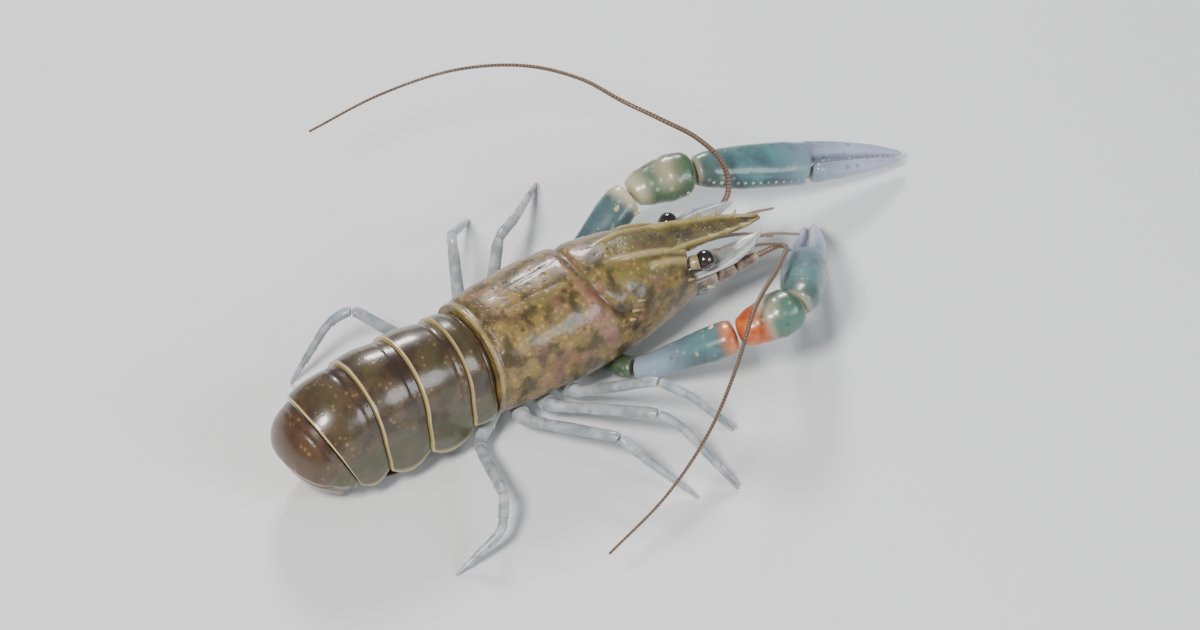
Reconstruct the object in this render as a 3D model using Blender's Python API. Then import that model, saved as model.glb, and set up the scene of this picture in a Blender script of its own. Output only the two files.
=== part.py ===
"""Freshwater crayfish, life size, standing with its tail tucked under.

Lengths are in millimetres until a mesh is made.  While it is modelled the
animal heads toward -Y with its left side on +X, and y = 0 lies at the rear
rim of the carapace; the last step moves the bottom centre of the whole box
to the origin.
"""
import math

import bmesh
import bpy
import numpy as np

MM = 0.001
GAP = 0.3                       # clear space between two neighbouring parts
FLOOR = 0.0
FLAT_SNAP = 0.02                # corners this near the floor are laid on it

# Carapace: y, half width, top, height of the widest line, underside
CARAPACE = (
    (0.0, 11.7, 25.5, 14.4, 7.2),
    (-4.0, 12.3, 26.2, 14.6, 7.2),
    (-13.0, 12.8, 27.0, 15.0, 7.2),
    (-22.0, 12.9, 27.3, 15.2, 7.2),
    (-29.0, 12.1, 27.0, 15.3, 7.2),
    (-37.0, 10.9, 26.0, 15.3, 7.5),
    (-44.0, 9.5, 24.0, 15.2, 8.4),
    (-49.8, 8.2, 21.4, 14.9, 9.5),
)
CARAPACE_FRONT = CARAPACE[-1][0]
CARAPACE_FOOT = 0.80            # underside width as a share of full width
CARAPACE_POWER = 2.25           # 2 is an ellipse, more is fuller shouldered
GROOVE_Y = -25.0                # cervical groove on the back line
GROOVE_FORWARD = 11.0           # how far it runs forward down the flank
GROOVE_DEPTH = 0.75
GROOVE_WIDTH = 1.5
RIM_Y = -1.6                    # hoop groove in front of the rear rim
RIM_DEPTH, RIM_WIDTH = 0.35, 0.9
CARAPACE_RINGS = 27
CARAPACE_ARCH = 26              # steps over the back
CARAPACE_FLANK = 5              # steps from the widest line to the underside

# Rostrum: y, half width, height of the edges
ROSTRUM = (
    (-45.0, 4.8, 22.9),
    (-50.0, 4.2, 21.9),
    (-56.0, 3.5, 20.2),
    (-62.0, 2.7, 18.4),
    (-67.5, 1.6, 16.6),
    (-71.0, 0.45, 15.6),
)
ROSTRUM_DISH = 0.8              # hollow between the raised edges
ROSTRUM_DEPTH = (4.2, 0.8)      # thickness at the root and at the tip
ROSTRUM_SPINES = (-57.0, -61.5, -65.8)
SPINE_LENGTH, SPINE_RADIUS = 2.1, 0.6
# Keels on the head: start y, end y, side offset at each, radius
RIDGES = (
    (-31.0, -48.4, 3.0, 4.3, 0.75),
    (-38.0, -47.9, 6.3, 6.0, 0.85),
)

# Underside between the legs
STERNUM_Y = (-33.5, -0.4)
STERNUM_HALF = 5.0
STERNUM_Z = (2.7, CARAPACE[0][4] - GAP)
ROOT_X = STERNUM_HALF + GAP
ROOT_Z = 4.5

# Head parts
EYE_RADIUS = 2.05
EYE_CENTRE = (6.6, -52.9, 18.3)
EYE_ROOT = (5.2, 17.5)
EYE_STALK_RADIUS = 1.45
HEAD_Y = CARAPACE_FRONT - GAP
ANTENNULE = ((2.0, HEAD_Y, 14.3), (2.1, -54.5, 14.1), (2.3, -59.5, 13.6))
ANTENNULE_RADIUS = (1.25, 0.85)
FILAMENTS = (
    ((2.4, -58.0, 13.9), (2.9, -64.0, 14.2), (3.6, -71.0, 13.2), (4.6, -78.0, 10.2)),
    ((2.3, -58.0, 13.4), (2.3, -64.0, 11.8), (1.9, -70.0, 9.4), (1.3, -75.5, 6.2)),
)
FILAMENT_RADIUS = (0.5, 0.27)
PEDUNCLE = ((5.3, HEAD_Y, 11.8), (6.0, -57.5, 12.1), (7.4, -65.5, 13.4))
PEDUNCLE_RADIUS = (2.0, 1.85, 1.15)
SCALE_AXIS = ((6.0, HEAD_Y, 14.85), (6.6, -58.0, 15.9), (5.2, -67.8, 16.9))
SCALE_HALF = (1.4, 2.4, 0.35)
SCALE_THICK = (0.42, 0.55, 0.3)
MAXILLIPED = ((2.45, -33.9, 4.8), (2.6, -44.0, 6.2), (2.5, -51.0, 6.6), (2.2, -57.0, 3.6))
MAXILLIPED_HALF = (1.95, 2.0, 1.6, 0.6)

# Feelers, beginning a gap beyond the end of each peduncle
FEELER_LEFT = (
    (7.4, -65.5, 13.4), (9.0, -69.6, 15.6), (11.6, -70.3, 21.0), (15.4, -66.3, 27.8),
    (20.5, -61.2, 31.6), (28.0, -56.5, 33.6), (38.0, -53.0, 34.0), (50.0, -46.5, 32.0), (60.0, -36.0, 28.5),
    (66.5, -22.0, 24.0), (69.5, -6.5, 19.5),
)
FEELER_RIGHT = (
    (-7.4, -65.5, 13.4), (-9.2, -69.0, 15.4), (-13.0, -68.4, 18.6), (-19.6, -61.5, 21.8),
    (-28.0, -50.0, 24.0), (-38.0, -38.5, 22.5), (-47.0, -25.5, 19.0), (-53.0, -11.0, 14.5),
    (-56.0, 4.5, 10.0),
)
FEELER_RADIUS = (0.64, 0.26)
FEELER_CUTS = (0.14, 0.36, 0.65)
FEELER_RINGS = (9, 9, 8, 8)

# Claw legs: root, hip, elbow, wrist, fingertip
CLAW_LEFT = ((ROOT_X, -27.0, ROOT_Z), (14.0, -30.3, 5.1), (20.5, -53.0, 15.8),
             (17.8, -66.5, 16.8), (8.1, -113.9, 2.9))
CLAW_RIGHT = ((-ROOT_X, -27.0, ROOT_Z), (-14.0, -30.8, 5.1), (-25.0, -48.2, 15.0),
              (-27.9, -61.4, 18.6), (2.2, -85.6, 2.7))
ARM_BEND = 4.3
ISCHIUM_HALF = ((2.1, 2.0), (2.5, 2.2))
# share of the length, half height, half width
MERUS_SIZES = ((0.0, 2.3, 2.1), (0.25, 3.0, 2.5), (0.75, 4.0, 3.3), (0.92, 3.9, 3.3), (1.0, 3.2, 2.7))
CARPUS_SIZES = ((0.0, 2.8, 2.4), (0.2, 3.9, 3.5), (0.65, 4.9, 4.6), (0.88, 4.5, 4.3), (1.0, 3.3, 3.2))
# share of the length, half width, half thickness, sideways shift
PALM_SIZES = ((0.0, 2.8, 2.6, 0.0), (0.06, 3.8, 3.3, 0.0), (0.22, 4.6, 3.8, 0.0),
              (0.44, 4.75, 3.8, 0.0), (0.52, 4.5, 3.5, 0.0))
FIXED_SIZES = ((0.535, 2.2, 3.1, 2.35), (0.7, 1.85, 2.4, 2.25), (0.85, 1.4, 1.75, 1.75), (1.0, 0.5, 0.6, 0.8))
MOVING_SIZES = ((0.54, 1.45, 2.5, -2.4), (0.58, 1.8, 2.7, -2.45), (0.72, 1.65, 2.2, -1.95),
                (0.86, 1.25, 1.65, -1.35), (0.985, 0.45, 0.55, -0.75))
CLAW_SIDES = 14

# Walking legs: root y, then hip, knee, ankle and tip
LEGS = {
    "leg_2_left": (-16.4, (12.0, -18.0, 5.0), (20.0, -26.0, 7.4), (21.6, -34.0, 7.2), (20.0, -51.0, 0.0)),
    "leg_3_left": (-11.5, (12.0, -11.8, 5.0), (27.0, -25.0, 13.0), (31.6, -32.2, 11.0), (47.0, -47.6, 0.0)),
    "leg_4_left": (-6.8, (12.0, -6.4, 5.0), (29.2, -15.3, 14.0), (34.0, -18.0, 12.0), (46.0, -30.0, 0.0)),
    "leg_5_left": (-2.2, (12.6, 0.2, 5.0), (25.8, 11.5, 14.0), (27.6, 16.0, 11.0), (26.6, 26.0, 0.0)),
    "leg_2_right": (-16.4, (-12.0, -17.5, 5.0), (-28.2, -26.3, 17.0), (-33.0, -31.8, 13.0),
                    (-34.6, -40.4, 0.0)),
    "leg_3_right": (-11.5, (-12.0, -11.0, 5.0), (-31.8, -24.2, 12.0), (-35.7, -27.5, 9.0),
                    (-48.4, -31.9, 0.0)),
    "leg_4_right": (-6.8, (-12.5, -4.6, 5.0), (-31.5, -15.2, 10.0), (-35.3, -17.0, 7.5),
                    (-46.0, -24.0, 0.0)),
    "leg_5_right": (-2.2, (-12.4, 6.2, 4.4), (-30.4, 11.9, 9.0), (-35.8, 16.0, 5.6), (-36.2, 27.2, 0.0)),
}
LEG_BEND = 2.4
# share of each length, half width, half thickness
UPPER_SIZES = ((0.0, 1.95, 1.8), (0.2, 1.75, 1.6), (0.32, 1.2, 1.1), (0.62, 1.35, 1.1),
               (0.93, 1.2, 1.0), (1.0, 0.95, 0.85))
LOWER_SIZES = ((0.0, 0.95, 0.85), (0.08, 1.12, 0.98), (0.24, 1.0, 0.88), (0.5, 0.86, 0.76),
               (0.74, 0.72, 0.64), (0.88, 0.5, 0.46), (1.0, 0.3, 0.3))
PINCERS = ("leg_2", "leg_3")
PINCER_FROM, PINCER_SHIFT, PINCER_RADIUS = 0.74, 0.7, 0.4
LEG_SIDES = 8

# Abdomen, at each line between two rings: back (y, z), belly (y, z), half width
ABDOMEN = (
    ((0.3, 25.0), (0.3, 8.6), 10.5),
    ((6.0, 26.0), (6.0, 8.2), 10.4),
    ((16.8, 26.9), (16.3, 8.0), 10.5),
    ((27.9, 26.3), (25.9, 8.0), 10.3),
    ((39.3, 22.0), (33.1, 7.6), 9.8),
    ((44.2, 11.2), (35.4, 6.9), 8.8),
    ((36.0, 0.25), (32.4, 3.2), 6.6),
)
SHOULDER = 0.36                 # share of the height where the sides begin
PLEURON_FLARE = 1.07            # side plates stand out wider than the arch
PLEURON_DROP = (1.4, 4.3, 4.2, 3.7, 2.2, 0.8)     # how far each ring's side plates hang
RING_STEP = 0.55                # each ring flares this much over the next
ABDOMEN_ARCH = 18
ABDOMEN_STATIONS = (0.0, 0.12, 0.3, 0.5, 0.72, 0.9, 1.0)
PLEOPODS = {2: 4.6, 3: 4.4, 4: 3.8, 5: 2.6}       # swimmeret length under each ring

# Tail fan, folded: leaves one over another, the middle one flat on the floor with its back side down;
# x, y and half width along each
TELSON = ((0.0, 36.0, 2.8), (0.0, 32.3, 3.6), (0.0, 26.0, 3.9), (0.0, 20.0, 3.4), (0.0, 17.2, 1.9))
ENDOPOD = ((3.0, 33.6, 1.0), (3.5, 30.5, 1.6), (4.1, 26.0, 2.1), (4.6, 20.8, 1.8), (4.9, 18.2, 0.8))
EXOPOD = ((4.7, 32.3, 0.7), (5.3, 29.5, 1.2), (6.2, 25.6, 1.6), (6.9, 21.6, 1.5), (7.2, 19.2, 0.7))
TELSON_LAYER, INNER_LAYER, OUTER_LAYER = (0.0, 1.0), (1.3, 0.7), (2.3, 0.7)   # underside, thickness

COLOURS = {
    "shell": (0.20, 0.15, 0.055, 1.0),
    "abdomen": (0.15, 0.10, 0.06, 1.0),
    "claw": (0.05, 0.24, 0.22, 1.0),
    "joint": (0.45, 0.16, 0.06, 1.0),
    "leg": (0.42, 0.45, 0.43, 1.0),
    "eye": (0.01, 0.01, 0.012, 1.0),
    "feeler": (0.36, 0.22, 0.13, 1.0),
    "belly": (0.34, 0.33, 0.27, 1.0),
    "fan": (0.12, 0.14, 0.10, 1.0),
}


def clear_scene():
    for item in list(bpy.data.objects):
        bpy.data.objects.remove(item, do_unlink=True)


def material(slot):
    made = bpy.data.materials.get(slot)
    if made is None:
        made = bpy.data.materials.new(slot)
        made.use_nodes = True
        shader = made.node_tree.nodes["Principled BSDF"]
        shader.inputs["Base Color"].default_value = COLOURS[slot]
        shader.inputs["Roughness"].default_value = 0.12 if slot == "eye" else 0.38
    return made


def unit(vector):
    return np.asarray(vector, float) / max(np.linalg.norm(vector), 1e-9)


def curve(xs, ys, x):
    """Smooth value at x through the rows (xs, ys); xs may rise or fall."""
    xs, ys = np.asarray(xs, float), np.asarray(ys, float)
    if xs[0] > xs[-1]:
        xs, ys = xs[::-1], ys[::-1]
    x = min(max(x, xs[0]), xs[-1])
    k = min(int(np.searchsorted(xs, x, side="right")) - 1, len(xs) - 2)
    steps = np.diff(xs)
    slopes = np.diff(ys, axis=0) / (steps if ys.ndim == 1 else steps[:, None])
    bends = np.concatenate([slopes[:1], (slopes[1:] + slopes[:-1]) / 2, slopes[-1:]])
    h, t = steps[k], (x - xs[k]) / steps[k]
    return ((2 * t**3 - 3 * t**2 + 1) * ys[k] + (t**3 - 2 * t**2 + t) * h * bends[k]
            + (3 * t**2 - 2 * t**3) * ys[k + 1] + (t**3 - t**2) * h * bends[k + 1])


def rounded(points, radius, steps=10):
    """Straight lengths with each corner eased by a short bend."""
    points = [np.asarray(p, float) for p in points]
    line = [points[0]]
    for before, corner, after in zip(points, points[1:], points[2:]):
        reach = min(radius, 0.45 * np.linalg.norm(corner - before), 0.45 * np.linalg.norm(after - corner))
        first, last = corner + unit(before - corner) * reach, corner + unit(after - corner) * reach
        for t in np.linspace(0.0, 1.0, steps):
            line.append((1 - t) ** 2 * first + 2 * t * (1 - t) * corner + t * t * last)
    return np.array(line + [points[-1]])


def flowing(points, steps=12):
    """A smooth line through all the points."""
    points = np.array(points, float)
    spans = np.concatenate([[0.0], np.cumsum(np.linalg.norm(np.diff(points, axis=0), axis=1))])
    count = steps * (len(points) - 1) + 1
    return np.array([curve(spans, points, s) for s in np.linspace(0.0, spans[-1], count)])


class Route:
    """A line with a frame that turns along it without twisting."""

    def __init__(self, line, up):
        self.line = np.array(line, float)
        moves = np.linalg.norm(np.diff(self.line, axis=0), axis=1)
        self.s = np.concatenate([[0.0], np.cumsum(moves)])
        self.length = self.s[-1]
        self.ahead = np.array([unit(v) for v in np.gradient(self.line, self.s, axis=0)])
        normal, self.up = np.asarray(up, float), []
        for forward in self.ahead:
            normal = unit(normal - forward * np.dot(normal, forward))
            self.up.append(normal)
        self.up = np.array(self.up)

    def pick(self, rows, s):
        return np.array([np.interp(s, self.s, rows[:, i]) for i in range(3)])

    def frame(self, s):
        ahead = unit(self.pick(self.ahead, s))
        up = self.pick(self.up, s)
        up = unit(up - ahead * np.dot(up, ahead))
        return self.pick(self.line, s), ahead, up, np.cross(ahead, up)

    def near(self, point):
        return self.s[int(np.argmin(np.linalg.norm(self.line - np.asarray(point, float), axis=1)))]


def oval(count, power=2.0, turn=0.0):
    """Unit ring; power above 2 squares it off."""
    angles = 2 * math.pi * (np.arange(count) + turn) / count
    c, s = np.cos(angles), np.sin(angles)
    return np.sign(c) * np.abs(c) ** (2 / power), np.sign(s) * np.abs(s) ** (2 / power)


def tube_rings(route, start, end, stations, sizes, sides, power=2.0, ease=(True, True)):
    """Rings from start to end; each size row is share, half side, half up, shift."""
    rows = np.array([tuple(r) + (0.0,) * (4 - len(r)) for r in sizes], float)
    c, s = oval(sides, power, 0.5)
    rings = []
    for share in stations:
        at = start + (end - start) * share
        anchor = {0.0: start, 1.0: end}.get(share, at)
        centre, ahead, up, side = route.frame(anchor)
        if share == 0.0 and ease[0]:
            centre = centre + ahead * GAP / 2
        if share == 1.0 and ease[1]:
            centre = centre - ahead * GAP / 2
        half, high, shift = (np.interp(share, rows[:, 0], rows[:, i]) for i in (1, 2, 3))
        rings.append([centre + side * (half * a + shift) + up * high * b for a, b in zip(c, s)])
    return np.array(rings)


def solid(name, rings, slot, tips=(None, None)):
    """Closed mesh from rings; a tip is one point, else the end is a flat face."""
    rings = np.array(rings, float)
    count, around = rings.shape[:2]
    points = list(rings.reshape(-1, 3))
    faces = []
    for r in range(count - 1):
        for j in range(around):
            k = (j + 1) % around
            faces.append((r * around + j, r * around + k, (r + 1) * around + k, (r + 1) * around + j))
    for end, tip in zip((0, count - 1), tips):
        loop = [end * around + j for j in range(around)]
        if tip is None:
            faces.append(loop if end == 0 else loop[::-1])
        else:
            points.append(np.asarray(tip, float))
            faces += [(loop[j], loop[(j + 1) % around], len(points) - 1) for j in range(around)]
    return from_faces(name, points, faces, slot)


def from_faces(name, points, faces, slot):
    mesh = bpy.data.meshes.new(name)
    mesh.from_pydata([tuple(float(v) * MM for v in p) for p in points], [], faces)
    work = bmesh.new()
    work.from_mesh(mesh)
    bmesh.ops.recalc_face_normals(work, faces=work.faces)
    work.to_mesh(mesh)
    work.free()
    mesh.materials.append(material(slot))
    item = bpy.data.objects.new(name, mesh)
    bpy.context.scene.collection.objects.link(item)
    return item


def fuse(base, extras):
    """Join small closed pieces to the part they grow from."""
    if not extras:
        return base
    group = bpy.data.collections.new("joined")
    for item in extras:
        item.hide_render = True
        item.display_type = "WIRE"
        for home in list(item.users_collection):
            home.objects.unlink(item)
        group.objects.link(item)
    change = base.modifiers.new("join", "BOOLEAN")
    change.operation, change.operand_type, change.solver = "UNION", "COLLECTION", "EXACT"
    change.collection = group
    view = bpy.context.evaluated_depsgraph_get()
    joined = bpy.data.meshes.new_from_object(base.evaluated_get(view))
    base.modifiers.clear()
    base.data = joined
    for item in extras:
        bpy.data.objects.remove(item, do_unlink=True)
    bpy.data.collections.remove(group)
    keep_largest(base)
    return base


def keep_largest(item):
    work = bmesh.new()
    work.from_mesh(item.data)
    bmesh.ops.remove_doubles(work, verts=work.verts, dist=2e-6)
    unseen, bodies = set(work.faces), []
    while unseen:
        queue, body = [unseen.pop()], []
        while queue:
            face = queue.pop()
            body.append(face)
            for edge in face.edges:
                for other in edge.link_faces:
                    if other in unseen:
                        unseen.discard(other)
                        queue.append(other)
        bodies.append(body)
    bodies.sort(key=len)
    spare = [face for body in bodies[:-1] for face in body]
    bmesh.ops.delete(work, geom=spare, context="FACES")
    work.to_mesh(item.data)
    work.free()


def to_floor(item):
    """Cut off what would dip under the floor, which leaves a small flat to stand on."""
    work = bmesh.new()
    work.from_mesh(item.data)
    every = work.verts[:] + work.edges[:] + work.faces[:]
    bmesh.ops.bisect_plane(work, geom=every, dist=FLAT_SNAP * MM, plane_co=(0.0, 0.0, FLOOR * MM),
                           plane_no=(0.0, 0.0, 1.0), use_snap_center=True, clear_inner=True)
    bmesh.ops.holes_fill(work, edges=work.edges[:], sides=0)
    bmesh.ops.recalc_face_normals(work, faces=work.faces)
    work.to_mesh(item.data)
    work.free()


def spine(root, aim, length, radius, slot, sides=5):
    aim = unit(aim)
    side = unit(np.cross(aim, (0.0, 0.3, 1.0)))
    up = np.cross(side, aim)
    root = np.asarray(root, float) - aim * 0.9 * radius
    c, s = oval(sides)
    rings = [[root + (side * a + up * b) * radius + aim * along for a, b in zip(c, s)]
             for along in (0.0, 0.9 * radius)]
    return solid("spine", rings, slot, (None, root + aim * (length + 0.9 * radius)))


def carapace_sizes(y):
    rows = np.array(CARAPACE)
    return curve(rows[:, 0], rows[:, 1:], y)


def groove(y, lift):
    """Depth of the cervical groove and the rear hoop at a height share."""
    line = GROOVE_Y - GROOVE_FORWARD * (1.0 - lift) ** 1.5
    fade = min(1.0, max(0.0, (lift + 0.05) / 0.25))
    cut = GROOVE_DEPTH * fade * math.exp(-((y - line) / GROOVE_WIDTH) ** 2)
    return cut + RIM_DEPTH * math.exp(-((y - RIM_Y) / RIM_WIDTH) ** 2)


def carapace_point(y, angle):
    """Point of the shell; the angle runs from 0 at left over the back to pi."""
    half, top, middle, _ = carapace_sizes(y)
    power = 2 / CARAPACE_POWER
    lift = abs(math.sin(angle)) ** power
    across = math.copysign(abs(math.cos(angle)) ** power, math.cos(angle))
    cut = groove(y, lift)
    return np.array([(half - cut) * across, y, middle + (top - middle - cut) * lift])


def carapace_ring(y):
    half, _, middle, under = carapace_sizes(y)
    foot = half * CARAPACE_FOOT
    ring = [carapace_point(y, math.pi * j / CARAPACE_ARCH) for j in range(CARAPACE_ARCH + 1)]
    inset = RIM_DEPTH * math.exp(-((y - RIM_Y) / RIM_WIDTH) ** 2)
    flank = []
    for j in range(1, CARAPACE_FLANK + 1):
        bend = math.pi / 2 * j / CARAPACE_FLANK
        flank.append((foot + (half - foot - inset) * math.cos(bend),
                      middle - (middle - under) * math.sin(bend)))
    ring += [np.array((-x, y, z)) for x, z in flank]
    ring += [np.array((x, y, z)) for x, z in flank[::-1]]
    return ring


def carapace_stations():
    even = np.linspace(0.0, CARAPACE_FRONT, CARAPACE_RINGS)
    return sorted(set(np.round(even, 3)) | {RIM_Y + RIM_WIDTH, RIM_Y, RIM_Y - 1.0}, reverse=True)


def rostrum_ring(y):
    rows = np.array(ROSTRUM)
    half, edge = curve(rows[:, 0], rows[:, 1:], y)
    share = (y - rows[0, 0]) / (rows[-1, 0] - rows[0, 0])
    depth = ROSTRUM_DEPTH[0] + (ROSTRUM_DEPTH[1] - ROSTRUM_DEPTH[0]) * share
    dish = ROSTRUM_DISH * (1 - 0.6 * share)
    lip = min(0.22 * half + 0.25, 0.45 * half)
    outline = ((half, -0.1), (half - lip / 2, 0.28), (half - lip, -0.1), (0.0, -dish),
               (lip - half, -0.1), (lip / 2 - half, 0.28), (-half, -0.1),
               (-0.8 * half, -0.6 * depth), (0.0, -depth), (0.8 * half, -0.6 * depth))
    return [np.array((x, y, edge + z)) for x, z in outline]


def ridge(spec, side):
    """Half-sunk keel riding on the shell."""
    start, end, off_a, off_b, radius = spec
    line = []
    for t in np.linspace(0.0, 1.0, 8):
        y, x = start + (end - start) * t, off_a + (off_b - off_a) * t
        angle = math.acos(min(1.0, x / carapace_sizes(y)[0]) ** (CARAPACE_POWER / 2))
        line.append(carapace_point(y, angle) * np.array((side, 1, 1)) - np.array((0, 0, 0.25 * radius)))
    route = Route(line, (0, 0, 1))
    sizes = ((0.0, 0.15 * radius, 0.15 * radius), (0.3, 0.8 * radius, radius),
             (0.8, radius, radius), (1.0, 0.5 * radius, 0.5 * radius))
    rings = tube_rings(route, 0.0, route.length, np.linspace(0, 1, 9), sizes, 6, ease=(False, False))
    return solid("ridge", rings, "shell")


def build_carapace():
    shell = solid("carapace", [carapace_ring(y) for y in carapace_stations()], "shell")
    rows = np.array(ROSTRUM)
    beak = solid("beak", [rostrum_ring(y) for y in np.linspace(rows[0, 0], rows[-1, 0], 12)], "shell")
    extras = [beak]
    for y in ROSTRUM_SPINES:
        half, edge = curve(rows[:, 0], rows[:, 1:], y)
        for side in (1, -1):
            extras.append(spine((side * (half - 0.3), y, edge - 0.1), (side * 0.6, -1.0, 0.25),
                                SPINE_LENGTH, SPINE_RADIUS, "shell"))
    for spec in RIDGES:
        for side in (1, -1):
            extras.append(ridge(spec, side))
    return fuse(shell, extras)


def build_sternum():
    low, high = STERNUM_Z
    rings = []
    for y, share in zip(np.linspace(STERNUM_Y[0], STERNUM_Y[1], 5), (0.75, 0.95, 1.0, 1.0, 0.8)):
        keel = low + (1 - share) * 3.0
        rings.append([np.array((x, y, z)) for x, z in
                      ((STERNUM_HALF, high), (-STERNUM_HALF, high), (-STERNUM_HALF, keel + 0.9),
                       (-STERNUM_HALF * 0.5, keel), (STERNUM_HALF * 0.5, keel),
                       (STERNUM_HALF, keel + 0.9))])
    return solid("sternum", rings, "belly")


def mirror(point, side):
    return np.array((point[0] * side, point[1], point[2]), float)


def ball(centre, radius, slot, rows=8, sides=14):
    centre = np.asarray(centre, float)
    c, s = oval(sides)
    rings = []
    for k in range(1, rows):
        polar = math.pi * k / rows
        rings.append([centre + radius * np.array((math.sin(polar) * a, math.sin(polar) * b, math.cos(polar)))
                      for a, b in zip(c, s)])
    poles = (centre + (0, 0, radius), centre - (0, 0, radius))
    return solid("ball", rings, slot, poles)


def build_eye(side, word):
    root = np.array((side * EYE_ROOT[0], HEAD_Y, EYE_ROOT[1]))
    centre = mirror(EYE_CENTRE, side)
    c, s = oval(10)
    rings = [[root + EYE_STALK_RADIUS * np.array((a, 0, b)) for a, b in zip(c, s)]]
    aim = unit(centre - root)
    across = unit(np.cross(aim, (0, 0, 1)))
    over = np.cross(across, aim)
    middle = root + (centre - root) * 0.75
    flip = np.sign(np.dot(across, (1, 0, 0)))
    rings.append([middle + 1.15 * EYE_STALK_RADIUS * (across * flip * a + over * b) for a, b in zip(c, s)])
    stalk = solid("eye_" + word, rings, "eye")
    return fuse(stalk, [ball(centre, EYE_RADIUS, "eye")])


def simple_tube(name, points, sizes, slot, sides, rings, face=None):
    """Even tube through the points; face 0 or 1 squares its root to that axis."""
    route = Route(flowing(points), (0, 0, 1))
    shares = np.linspace(0, 1, len(sizes))
    rows = [(t, s[0], s[1]) if np.ndim(s) else (t, s, s) for t, s in zip(shares, sizes)]
    made = tube_rings(route, 0.0, route.length, np.linspace(0, 1, rings), rows, sides, 2.0, (False, False))
    if face is not None:
        made[0][:, face] = points[0][face]
    return solid(name, made, slot)


def build_antennule(side, word):
    base = simple_tube("antennule_" + word, [mirror(p, side) for p in ANTENNULE],
                       ANTENNULE_RADIUS, "feeler", 8, 4, 1)
    threads = [simple_tube("thread", [mirror(p, side) for p in line], FILAMENT_RADIUS, "feeler", 5, 7)
               for line in FILAMENTS]
    return fuse(base, threads)


def build_head(side, word):
    build_eye(side, word)
    build_antennule(side, word)
    simple_tube("antenna_base_" + word, [mirror(p, side) for p in PEDUNCLE], PEDUNCLE_RADIUS, "claw", 10,
                6, 1)
    simple_tube("antenna_scale_" + word, [mirror(p, side) for p in SCALE_AXIS],
                list(zip(SCALE_HALF, SCALE_THICK)), "leg", 8, 7, 1)
    jaw = simple_tube("maxilliped_" + word, [mirror(p, side) for p in MAXILLIPED],
                      MAXILLIPED_HALF, "leg", 8, 9, 1)
    to_floor(jaw)


def build_feeler(points, word):
    """Whip of a feeler, parted into a few lengths that follow one curve."""
    route = Route(flowing(points), (0.3, 0.2, 1.0))
    cuts = [GAP / 2] + [route.length * share for share in FEELER_CUTS] + [route.length]
    thick, thin = FEELER_RADIUS
    for end, a, b, count in zip("abcd", cuts, cuts[1:], FEELER_RINGS):
        radii = [thick + (thin - thick) * (s / route.length) ** 0.7 for s in (a, b)]
        sizes = ((0.0, radii[0], radii[0]), (1.0, radii[1], radii[1]))
        rings = tube_rings(route, a, b, np.linspace(0, 1, count), sizes, 6)
        solid("antenna_%s_%s" % (word, end), rings, "feeler")


def stations(sizes, most=1.0):
    """Shares where rings stand: the named ones and some between."""
    shares = [row[0] for row in sizes]
    lot = []
    for a, b in zip(shares, shares[1:]):
        parts = max(1, int(round((b - a) / most)))
        lot += [a + (b - a) * k / parts for k in range(parts)]
    return lot + [shares[-1]]


def limb(name, route, start, end, sizes, slot, sides, ease=(True, True), power=2.0, most=1.0):
    rings = tube_rings(route, start, end, stations(sizes, most), sizes, sides, power, ease)
    if not ease[0]:
        rings[0][:, 0] = route.line[0][0]
    return solid(name, rings, slot)


def hand_rings(route, start, sizes, first):
    """Palm or finger: rows are shares of the whole hand, with a sideways shift."""
    span = route.length - start
    rows = [((r[0] - sizes[0][0]) / (sizes[-1][0] - sizes[0][0]),) + tuple(r[1:]) for r in sizes]
    a, b = start + span * sizes[0][0], start + span * sizes[-1][0]
    return tube_rings(route, a, b, stations(rows, 0.3), rows, CLAW_SIDES, 2.3, (first, False))


def build_hand(route, wrist, side, word):
    def sided(rows):
        return [r[:3] + (-r[3] * side,) for r in rows]
    palm = hand_rings(route, wrist, sided(PALM_SIZES), True)
    fixed = hand_rings(route, wrist, sided(FIXED_SIZES), False)
    solid("claw_palm_" + word, np.concatenate([palm, fixed]), "claw")
    solid("claw_finger_" + word, hand_rings(route, wrist, sided(MOVING_SIZES), False), "claw")


def build_claw_leg(points, word, side):
    route = Route(rounded(points, ARM_BEND), (0, 0, 1))
    hip, elbow, wrist = (route.near(p) for p in points[1:4])
    ischium = [(0.0,) + ISCHIUM_HALF[0], (0.6,) + ISCHIUM_HALF[1], (1.0,) + ISCHIUM_HALF[1]]
    limb("claw_hip_" + word, route, 0.0, hip, ischium, "claw", 10, (False, True))
    arm = limb("claw_arm_" + word, route, hip, elbow, MERUS_SIZES, "claw", 12, most=0.3)
    wrist_part = limb("claw_wrist_" + word, route, elbow, wrist, CARPUS_SIZES, "joint", 12, most=0.3)
    for part, a, b, share, size in ((arm, hip, elbow, 0.86, 3.9), (wrist_part, elbow, wrist, 0.72, 4.4)):
        centre, ahead, up, across = route.frame(a + (b - a) * share)
        inward = across * side
        fuse(part, [spine(centre + inward * size * 0.8, inward + 0.6 * ahead + 0.2 * up, 2.6, 1.0,
                          part.data.materials[0].name)])
    build_hand(route, wrist, side, word)


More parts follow.
